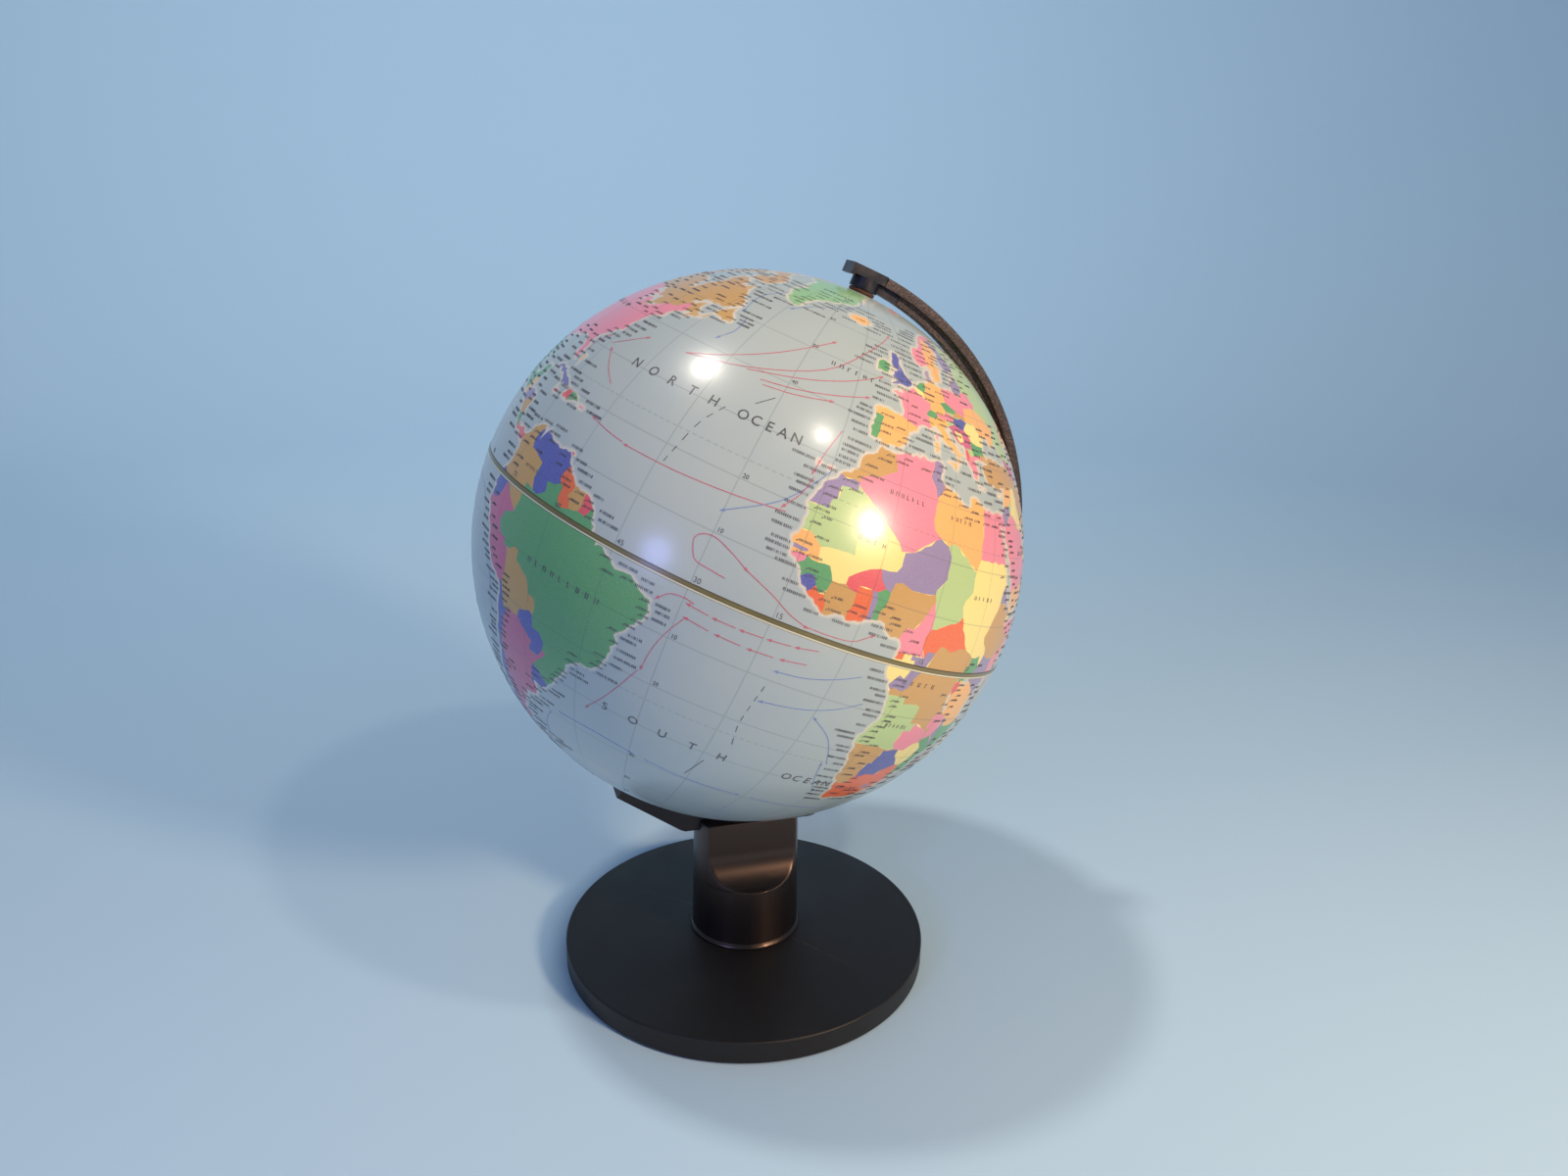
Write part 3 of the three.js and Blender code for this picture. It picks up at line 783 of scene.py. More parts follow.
headSettings = {
    "past": 10.4, "toArm": 6.86, "half": 6.0, "under": 132.0, "top": 136.3, "lip": 0.9, "lipWidth": 2.2,
    "bossRadius": 6.5, "bossBottom": 127.1, "tongueEnd": 59.19, "tongueHalf": 3.0,
    "tongueStart": 66.5, "tongueInner": 128.0, "tongueOuter": 131.7,
    "colour": colour(28, 28, 35), "other": colour(21, 21, 27), "wornColour": colour(84, 72, 70),
    "dustColour": colour(96, 92, 92), "patch": 8.0, "grain": 0.3, "depth": 0.02, "bump": 0.3,
    "rough": 0.30, "roughSpread": 0.08, "wear": 0.4, "dust": 0.10, "specular": 0.5,
    "sheenTint": (0.94, 0.92, 1.0, 1),
}


def buildHead():
    h, bore = headSettings, boreSettings
    cap = blockMesh((-h["past"], -h["half"], h["under"]), (h["toArm"], h["half"], h["top"]), tiltFrame)
    lip = blockMesh((-h["past"], -h["half"], h["under"] - h["lip"]),
                    (-h["past"] + h["lipWidth"], h["half"], h["under"] + 1), tiltFrame)
    bossCorners = [(0, h["bossBottom"], 0), (h["bossRadius"], h["bossBottom"], 0),
                   (h["bossRadius"], h["under"] + 0.5, 0), (0, h["under"] + 0.5, 0)]
    boss = turnedMesh(bossCorners, 64, tiltFrame)
    inner, outer, half = h["tongueInner"], h["tongueOuter"], h["tongueHalf"]
    section = [(inner, -half), (inner, half), (outer, half), (outer, -half)]
    ends = math.radians(h["tongueEnd"]), math.radians(h["tongueStart"])
    tongue = sweptArm(*ends, 10, lambda angle: section)
    steps = [
        ("UNION", lip), ("UNION", boss), ("UNION", meshOf(*tongue, Matrix.Translation(globeCentre))),
        ("DIFFERENCE", rodMesh(bore["pin"], bore["deep"], bore["far"], tiltFrame)),
        ("DIFFERENCE", rodMesh(bore["pinHead"], bore["seat"], bore["far"], tiltFrame)),
        ("DIFFERENCE", rodMesh(bore["pilot"], bore["deep"], bore["far"], screwFrame(), 24)),
    ]
    headMesh = combined(cap, steps, bevel=0.45)
    headMoulding = mouldedPlastic("headMoulding", h)
    finishPiece("head_moulding", headMesh, headMoulding, "stand", ["pole_head"], 50)


# Pins, washers, bushes and screws; the profiles are (radius, height along the axis, rounding)

metalLooks = {
    "pinSteel": {"colour": colour(178, 180, 184), "other": colour(128, 130, 136),
                 "patch": 3.0, "stretch": (1, 1, 9), "scale": 1500.0, "rough": 0.28},
    "ballastPlateSteel": {"colour": colour(118, 116, 110), "other": colour(84, 78, 70),
                          "patch": 12.0, "stretch": (6, 1, 1), "scale": 500.0, "rough": 0.55},
    "insertBrass": {"colour": colour(190, 150, 82), "other": colour(150, 112, 58),
                    "patch": 3.0, "stretch": (1, 1, 9), "scale": 1500.0, "rough": 0.3},
}
fibreLooks = {
    "washerFibre": {"colour": colour(104, 64, 42), "other": colour(78, 46, 30),
                    "patch": 2.0, "grain": 0.25, "bump": 0.5, "rough": 0.75, "sheen": 0.05},
    "bushAcetal": {"colour": colour(232, 228, 216), "other": colour(214, 208, 194),
                   "patch": 4.0, "grain": 0.5, "bump": 0.1, "rough": 0.4, "sheen": 0.0},
}
hardwareShapes = {
    "washer": [(2.3, 125.3, 0.2), (6.0, 125.3, 0.4), (6.0, 126.8, 0.4), (2.3, 126.8, 0.2)],
    "pin": [(0, 114.0, 0), (2.0, 114.0, 0.5), (2.0, 134.7, 0.1), (3.6, 134.7, 0.3), (3.6, 136.2, 0.9),
            (0, 136.2, 0)],
    "screw": [(0, 129.0, 0), (1.25, 129.0, 0.3), (1.25, 134.7, 0.1), (2.6, 134.7, 0.2), (2.6, 136.2, 0.9),
              (0, 136.2, 0)],
    "crossReach": 1.4, "crossHalf": 0.28, "crossLow": 135.5, "crossHigh": 137,
}


def buildHardware():
    shapes = hardwareShapes
    pinSteel, ballastSteel, insertBrass = [turnedMetal(name, look) for name, look in metalLooks.items()]
    washerFibre, bushAcetal = [fibrous(name, look) for name, look in fibreLooks.items()]
    flip = Matrix.Rotation(math.pi, 4, "X")
    for side, where in (("north", tiltFrame), ("south", tiltFrame @ flip)):
        turnedPiece(side + "_fibre_washer", shapes["washer"],
                    washerFibre, "stand", [side + "_washer"], where)
        turnedPiece(side + "_pole_pin", shapes["pin"],
                    pinSteel, "stand", [side + "_pin"], where)
    turned = turnedMesh(shapes["screw"], 48, screwFrame())
    reach, half, low, high = (shapes[key] for key in ("crossReach", "crossHalf", "crossLow", "crossHigh"))
    cross = [("DIFFERENCE", blockMesh((-x, -y, low), (x, y, high), screwFrame()))
             for x, y in ((reach, half), (half, reach))]
    crossed = combined(turned, cross)
    finishPiece("head_cross_screw", crossed, pinSteel, "stand", ["head_screw"], 35)
    carried = {
        "ballast_plate": ballastSteel, "ballast_screw_1": pinSteel, "ballast_screw_2": pinSteel,
        "ballast_screw_3": pinSteel, "foot_bolt": pinSteel, "bolt_washer": pinSteel,
        "threaded_insert": insertBrass, "north_bush": bushAcetal, "south_bush": bushAcetal,
        "join_ring": bushAcetal, "north_hemisphere": bushAcetal, "south_hemisphere": bushAcetal,
    }
    for node, material in carried.items():
        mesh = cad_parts[node].data
        mesh.materials.clear()
        mesh.materials.append(material)


# The printed map. Places are (longitude, latitude) in degrees, set down from memory of the world,
# simplified to what a desktop globe of this size can show

mapSettings = {
    "outer": 125.2, "inner": 125.03, "spin": -86.89, "bandEdge": 0.62, "poleEdge": 87.57,
    "gores": 8, "gridStep": 3.0, "polarStep": 1.5, "coastStep": 0.8, "borderStep": 1.3, "coastRough": 0.16,
    "borderRough": 0.09, "haloGap": 1.0, "haloReach": 3.0,
}
inks = {
    "pink": (240, 140, 158), "rose": (206, 102, 136), "red": (232, 92, 100), "ochre": (206, 158, 92),
    "green": (98, 162, 106), "mint": (146, 192, 138), "lime": (184, 206, 140), "yellow": (250, 226, 140),
    "orange": (248, 184, 108), "brick": (238, 110, 64), "violet": (154, 136, 172), "blue": (92, 96, 168),
    "ice": (240, 240, 236),
}
# Each land mass: its name, its first ink and its coast
landMasses = [
    ("southAmerica", "green", """-77.5 8.5,-76.5 9,-75.5 10.7,-74.5 11.2,-72 12.2,-71.6 11,-71.8 9.4,-71 11,
-70 12.1,-69.7 11.4,-68.2 10.8,-66.2 10.6,-64.2 10.3,-62 10.6,-61 9,-60 8.4,-58.5 7.2,-57.2 6,-55 5.9,
-54 5.8,-52.5 4.8,-51.6 4.1,-51 2.2,-50 1.5,-50 0.2,-48.4 -0.3,-48.5 -1.3,-47 -0.8,-44.5 -2.2,-44 -2.8,
-41.5 -2.9,-40 -2.8,-38.5 -3.8,-37 -4.8,-35.3 -5.2,-34.8 -7.5,-35.3 -9.2,-37 -11,-38 -12.8,-39 -13.5,
-39 -17.5,-40 -20,-41 -22,-42 -22.9,-44.5 -23.1,-46.3 -24.1,-48 -25.3,-48.6 -27.5,-49.7 -29.3,-51 -31,
-52.3 -32.5,-53.5 -34,-55 -34.9,-57 -34.4,-58.4 -34,-57.3 -35.6,-57 -36.5,-57.7 -38.1,-61 -38.9,-62.2 -39.2,
-62.4 -40.8,-65 -41,-63.8 -42.2,-65 -43.3,-65.4 -44.8,-67.4 -46,-66 -47.7,-67.6 -49.8,-69 -50.8,-68.5 -52.4,
-68 -53.5,-65.3 -54.7,-67.5 -55.7,-70.5 -55,-73.5 -53,-75.3 -51,-74.5 -49,-75.5 -47,-73.7 -45,-73 -42.5,
-73.7 -40,-73.3 -37.3,-71.7 -34,-71.5 -31,-71.4 -28.5,-70.5 -25.5,-70.3 -22,-70.3 -18.4,-72 -17.2,-75 -15.4,
-76.3 -13.5,-77.2 -12,-78.6 -9.5,-79.8 -7.2,-81.2 -6,-80.4 -3.5,-80 -2.8,-81 -2.2,-80 0.2,-78.9 1.4,
-77.4 3.6,-77.5 6.5,-77.9 7.3"""),
    ("northAmerica", "ochre", """-77.5 8.5,-77.9 7.3,-80 7.4,-81 8.3,-83 8.3,-85 10,-86 11.5,-87.7 13,
-90 13.9,-92.5 14.7,-95 16.1,-98 16.5,-101.5 17.6,-104 19,-105.6 20.4,-105.6 22,-107 24.3,-109.3 26.6,
-111 28,-112.8 30,-114.7 31.7,-114.6 30,-112.8 27.8,-111 25.5,-109.5 23.1,-110.2 23.2,-112 25,-114.2 27.2,
-115.8 30,-117.1 32.5,-118.5 34,-120.6 34.6,-122 36.7,-123.7 39,-124.3 41,-124.5 43,-124 46.2,-124.7 48.4,
-123 48.9,-127.5 51,-130 54.3,-133.5 57,-136.5 58.2,-141 60,-146 60.8,-150 59.5,-153.5 59,-157 56.8,-162 55,
-164.5 54.5,-160 57,-157.5 58.7,-162 59,-165 61,-166 63,-161.5 64.5,-166.5 65.3,-166.5 68.2,-163 69.5,
-156.8 71.3,-150 70.5,-141 69.7,-134 69.5,-128 70.3,-124 69.5,-115 68.2,-108 68,-101 67.8,-96 68.2,
-94.5 71.8,-92 69.5,-87 67.5,-85.5 69.5,-82 69.5,-81.5 67,-87 65,-90 64,-93.5 61.5,-94.8 59,-92.5 57,
-88 56.6,-82.4 55.1,-82 52.8,-79.8 51.3,-79 54.5,-76.8 57.2,-78.3 60,-77.7 62.5,-73 62,-69.7 61,-69.5 59,
-66 58.8,-64.5 60.2,-62 57.5,-58 54.5,-55.8 52.6,-58 51.3,-60 50.2,-66 50.2,-69.5 48,-71 47,-65 49.2,
-64.7 47,-61.2 45.3,-60 47,-60 46,-63.5 44.6,-66 43.6,-64.8 45.4,-67 45,-70 43.7,-70.8 42.2,-70 41.8,
-72 41.2,-74 40.6,-74.8 39,-75.6 37.5,-76 36.8,-75.6 35.2,-78 33.9,-80.8 32,-81.4 30,-80.2 27,-80.4 25.2,
-81.8 26,-82.7 28.4,-84 30,-86 30.4,-89.3 30.2,-89.6 29.2,-91.5 29.5,-94 29.6,-96.5 28.3,-97.4 26,
-97.7 22.5,-96.3 19.3,-94.5 18.2,-92 18.6,-90.5 19.8,-90.2 21.1,-87 21.5,-87.5 19.3,-88.3 18.2,-88.6 16,
-86 15.9,-83.2 15,-83.6 12,-83 10,-81.5 8.9,-79.6 9.5"""),
    ("africa", "yellow", """-5.9 35.8,-3 35.3,-1 35.8,3 36.9,8 36.9,10.2 37.3,11 37,10.3 35,10.2 34,
11.5 33.2,15.3 32.3,15.7 31.4,18.8 30.3,20 31,20 32.5,22 32.9,23.3 32.2,25.2 31.6,29 30.9,31 31.5,32.5 31.2,
32.6 30,32.7 28.8,34 26.5,35.5 23.9,36.9 22,37.3 19.5,38.6 18,39.8 15.3,43.2 12.5,43 11.3,44.5 10.5,48 11.2,
51.2 11.9,50.8 9.5,49 6.5,47.5 4.2,44 1,41.7 -1.5,40.2 -2.8,39.2 -4.8,39 -6.8,39.5 -9,40.5 -10.6,40.7 -14.8,
39 -17,36.5 -18.9,34.8 -20,35.4 -22.3,35.3 -24,33 -25.3,32.8 -27.3,31 -29.8,29 -32.6,27 -33.7,25.6 -34,
22.5 -34.1,20 -34.8,18.4 -34.1,18 -32,16.9 -29,15.2 -26.8,14.5 -23,12.8 -19.5,11.8 -17.2,12.4 -13.9,
13.7 -11,13.1 -8.8,12.2 -6,11 -4,9.5 -2.3,9 -0.8,9.5 1,9.8 3,8.8 4.4,6.8 4.3,5.5 5,4.5 6.3,2.5 6.3,1.2 6,
-2 4.8,-4.5 5.2,-7.6 4.4,-9.3 5.5,-11.4 6.8,-13.2 8.5,-13.7 9.8,-15 11,-16.7 12.3,-16.6 13.5,-17.4 14.7,
-16.4 16.5,-16.1 19,-17 21,-16 23.5,-14.7 26,-13 27.8,-11 28.8,-9.7 30,-9.7 31.5,-8.5 33.3,-6.6 34.3"""),
    ("eurasia", "lime", """-9 37,-9.4 38.8,-8.8 41.8,-9.2 43,-8 43.7,-4 43.4,-1.6 43.4,-1.2 45,-2.5 47.3,
-4.7 48.2,-3.5 48.8,-1.5 48.7,-1.8 49.7,0.2 49.6,1.7 50.8,3.5 51.4,4.7 53,7 53.6,8.7 54,8.2 56,8.5 57,
10.6 57.7,10.2 56.3,10.8 54.5,12.5 54.4,14.3 54,18 54.8,19.7 54.5,21 55.3,21.2 57,22.6 57.7,24.3 57.2,
24.4 58.4,23.4 59.2,28 59.6,30 60,27 60.5,22.9 60,21.4 61.5,21.5 63,25.3 65,24 65.8,21.5 64.5,17.3 61.5,
17.2 60.6,18.8 60,16.6 58.2,16.3 56.6,14.3 55.5,12.8 55.5,11.2 59,10.5 59.3,8 58.1,5.7 58.8,5 61,6 62.6,
10.5 64.3,13 66.3,16 68.5,20 70,25.5 71,31 70.3,33 69.4,41 67.5,40.5 66.4,34 66.7,36 64.2,40 64.7,44 66.2,
46 68,54 68.3,60.5 69.5,66 68.8,69 68.5,67 71.5,70 73.3,73 71.5,80 72.5,87 75,98 76.2,104.5 77.7,113 75.8,
113 73.8,127 73.3,131 71,140 72.6,152 71,160 69.8,170 70,180 68.8,190 66,186 64.5,180 64.8,177 62.6,170 60,
163.5 58,162.5 56,160 53,156.7 51,156 57,161 60.5,163 62.5,157 61.6,152 59,143 59.3,135.5 54.7,140.5 53.3,
140.5 48,135.3 43.8,130.7 42.3,127.6 39.5,129.4 37,129.2 35.2,126.5 34.4,126.6 37,124.7 38,125.2 39.5,
121.6 38.8,121.8 40.8,118 39.1,119 37.3,122.5 37.2,119.3 35,121.8 32,121 30.5,121.8 28.8,119.5 25.5,
116.5 23,113.5 22.2,110.5 21.2,110 20.4,108 21.6,106 20,105.8 18.8,108.8 15.5,109.3 12.5,107 10.4,105 8.7,
105 10.3,102.5 12,100.8 13.4,99.3 11,99.4 9.3,101 6.8,103.4 4,103.8 1.4,101.3 2.8,100.3 6,98.3 8.2,98.7 11,
97.6 15,95.4 15.8,94.3 18,92 21.3,90.5 22.5,87 21.4,85.2 19.7,82.3 16.7,80.2 15.3,80.2 13,79.8 10.3,78 8.2,
76.5 8.8,74.7 13.5,73 17.5,72.7 21,70.5 21,69.2 22.3,68 23.7,66.5 25.4,61.6 25.2,57.2 26,56.5 27.1,54 26.6,
51.3 28,49.5 30.1,48 29.9,48.8 27.8,50.2 26.2,51.5 25.9,51.5 24.3,54.5 24.3,56.4 26.2,56.5 24.3,59.8 22.4,
57.8 19,55 17,52 15.6,45 12.8,43.3 12.8,42.8 16,40.7 19.5,39 21.5,37.2 24.7,35 28,34.8 29.5,34.2 27.8,
32.7 29.8,32.4 31.2,34.2 31.4,35.2 33,36 35.8,36 36.8,34.5 36.7,32.5 36.1,30.5 36.8,28 36.7,26.5 38.5,
26.5 40,29 40.8,26 40.8,24 40.8,22.8 40.3,24 38.2,23 36.5,21.7 37,21 38.5,19.4 40.5,19.5 42,16 43.5,
13.7 45.3,12.4 45.3,12.4 44.2,14 42.5,16 41.6,18.4 40.2,17 40.4,16.6 39.8,17 39,16 37.9,15.7 40,13.5 41.2,
11 42.4,10.2 43.8,8.8 44.4,6.5 43.2,4.5 43.4,3.1 42.8,3 41.8,0.7 40.8,-0.3 39.5,0.2 38.8,-0.8 37.7,
-2.2 36.8,-4.5 36.7,-5.6 36,-6.5 37.1"""),
    ("australia", "pink", """113.5 -22,114 -26,115.7 -32,115 -34.3,118 -35,120 -34,124 -33,129 -31.7,
132 -32,134 -33,135.7 -34.8,137.8 -32.6,138.2 -35.4,140 -37.8,143.5 -38.8,146.4 -39,150 -37.4,151.3 -33.5,
153 -31,153.5 -28,153 -25,150.8 -23.2,149 -20.5,146.2 -18.8,145.3 -15.3,143.6 -14,142.5 -10.8,141.6 -13,
140.8 -17.5,139 -17.4,135.6 -15,136.8 -12.2,132.6 -11.4,130.8 -12.5,129.5 -15,127 -14,124 -16.3,122.2 -18.2,
118.5 -20.4"""),
    ("greenland", "mint", """-45 60,-50.5 62,-53.5 66.5,-51 69.5,-55 71,-58.5 75.3,-68 76.2,-73 78.2,-66 80,
-60 82,-46 82.8,-32 83.6,-22 82.5,-12 81.5,-18 79,-20 76,-22 72,-24 70.3,-32 68,-39.5 65.5,-42.5 62,
-43.2 60"""),
    ("antarctica", "ice", """-180 -78,-165 -78,-150 -76,-130 -74,-110 -74.5,-100 -72.5,-80 -73,-70 -70,
-62 -64.5,-57 -63.3,-60 -66,-61 -70,-62 -74.5,-50 -77.5,-36 -78,-25 -74.5,-10 -71,10 -70,30 -69,45 -67.5,
57 -66.5,70 -69,80 -67,100 -66,115 -66.5,130 -66.3,145 -67,160 -70,168 -73,163 -77.5,180 -78,180 -89,
-180 -89"""),
    ("madagascar", "yellow", """49.3 -12,50.4 -15.5,49.5 -18,47.2 -25,45 -25.5,43.4 -23.3,44.3 -20,
44.3 -16.5,47.5 -14.8"""),
    ("iceland", "orange", "-22.5 64,-24 65.6,-21 66.2,-16 66.5,-13.6 65,-18.5 63.4"),
    ("britain", "blue", """-5.2 50,-3 51.5,-5 51.8,-4.3 53.2,-3 54,-5 54.8,-5 56.5,-5 58.5,-3 58.6,-2 57.5,
-2.5 56,-1.2 54.6,0.2 53,1.6 52.6,1.3 51.2,-1.3 50.7,-3.5 50.3"""),
    ("ireland", "green", "-10 52,-9.8 54.2,-8 55.2,-6 54.8,-6.2 53,-6.5 52.2"),
    ("cuba", "blue", """-84.9 21.9,-82.7 23.1,-79.7 22.9,-77 21.5,-74.2 20.2,-77.7 19.9,-78.3 20.9,
-81.7 22.3"""),
    ("hispaniola", "green", "-74.4 18.4,-73.3 19.9,-71.7 19.8,-69.9 19.7,-68.4 18.6,-70.5 18.3,-71.8 17.8"),
    ("baffin", "ochre", """-61.5 66.5,-65 63,-71 62.8,-78 64.7,-73 66,-73 68,-80 70,-89 70.5,-85 73.5,
-80 73.8,-73 71.5,-67 69.3"""),
    ("victoria", "ochre", "-105 69,-115 69.5,-117 71,-112 73,-105 72.5"),
    ("ellesmere", "ochre", "-62 82.5,-75 78.5,-88 77,-92 81,-85 82.3,-70 83.1"),
    ("newfoundland", "ochre", "-59.3 47.7,-55.5 46.8,-53 47,-53.5 48.5,-55.5 49.8,-56 51.5,-57.5 50"),
    ("newGuinea", "green", """131 -1,134 -0.8,135 -3.3,138 -1.8,141 -2.6,145 -4.3,147.5 -6,150.5 -10.3,
147 -9.5,144 -7.8,141 -9.1,138 -8,138 -5.8,135 -4.5,132.8 -4,132 -2.8"""),
    ("borneo", "green", """109 1.8,111.5 2.6,113.5 3.8,116.8 7,119 5,117.8 1,116.2 -3.8,114.5 -4,111.5 -3.3,
110 -1.5"""),
    ("sumatra", "green", "95.4 5.6,98 4,100.5 2.2,103.8 -1,106 -3,105.7 -5.8,102.3 -4,98.8 1.6"),
    ("java", "green", "105.3 -6.7,108.5 -6.5,112.5 -6.8,114.4 -7.7,114.4 -8.6,108 -7.8"),
    ("sulawesi", "green", """119 -1,120 0.8,124.8 1.5,121 0.4,120.3 -1,123.3 -1,121.7 -2,122.5 -4.5,121 -3,
120.4 -5.4,119.4 -5.2"""),
]
# Small islands: an ink and a short coast each
islands = [
    ("ochre", "-123 71.3,-125 74,-118 74,-119 72"), ("ochre", "-80 75.5,-95 76.7,-92 74.7,-80 74.6"),
    ("pink", "15 77,12 79.5,20 80.4,26 80,20 78"), ("lime", "52 71,56 74,66 76.8,68 76.5,58 73,57 70.7"),
    ("orange", "12.5 38,15.5 38.2,15.1 36.8"), ("orange", "8.3 39,8.2 41,9.6 41,9.6 39.2"),
    ("pink", "8.6 42,9.4 43,9.4 41.5"), ("rose", "23.6 35.4,26.2 35.3,26 35,23.6 35.2"),
    ("yellow", "32.3 35,34.5 35.6,34 34.9,33 34.6"), ("pink", "80 9.6,81.8 7.5,81.2 6.2,80.1 6.1,79.8 8"),
    ("orange", """130.8 34,135 35.6,137 37.3,140 39.5,140.3 41.3,141.8 39.5,140.8 35.8,138.5 34.7,
135.8 33.6,132 34"""),
    ("orange", "130 33.5,131.8 33.5,131.3 31.4,130.2 31.4"),
    ("orange", "140 41.6,141.8 45.4,145.5 43.3,143.2 42"), ("lime", "142 46,142 54,143.2 51,143.5 49"),
    ("violet", "120.2 23,121.5 25.2,121 22"), ("yellow", "108.8 19,111 20,110 18.3"),
    ("violet", "120.3 16,120.8 18.5,122.2 18.4,121.6 15.5,124 13,121 13.8"),
    ("violet", "122 7,124.5 8.5,126.3 8.8,126.2 6.3,124 6.3"),
    ("violet", "122.5 10.5,125 12.3,125 10.2,123 9.3"),
    ("pink", "144.7 -40.8,148.3 -40.9,148 -43,146 -43.5"),
    ("violet", "173 -34.5,175.5 -36.7,178.4 -37.8,177 -39.4,175.3 -41.6,174 -39.3,174.8 -37.5"),
    ("violet", "172.7 -40.6,174.3 -41.6,171 -44.2,170.5 -46,168.3 -46.6,166.6 -45.8,170.5 -43"),
    ("violet", "-61 -51.5,-58 -51.4,-58 -52.2,-61 -52.2"),
    ("red", "-78.4 18.4,-76.3 18.3,-76.4 17.9,-78.2 18"),
    ("pink", "-67.2 18.5,-65.7 18.4,-65.8 18,-67.1 18"),
    ("orange", "123.5 -10.3,127 -8.4,126.5 -9,124.2 -10.5"), ("pink", "-18 28.7,-17.2 28.3,-17.9 27.9"),
    ("pink", "-15.8 28.3,-14.8 28.4,-15.4 27.7"), ("orange", "11.2 55.7,12.5 56,12.4 55,11.5 55"),
    ("orange", "164 -20,167 -22.3,166.4 -22.4"), ("orange", "-156 20.2,-155 19.8,-155.6 19"),
    ("red", "-62 10.8,-60.9 10.8,-61.2 10.1"), ("orange", "-78.2 26.8,-77 26.6,-77.8 25"),
    ("green", "177.2 -17.4,178.6 -17.6,178 -18.3"),
]
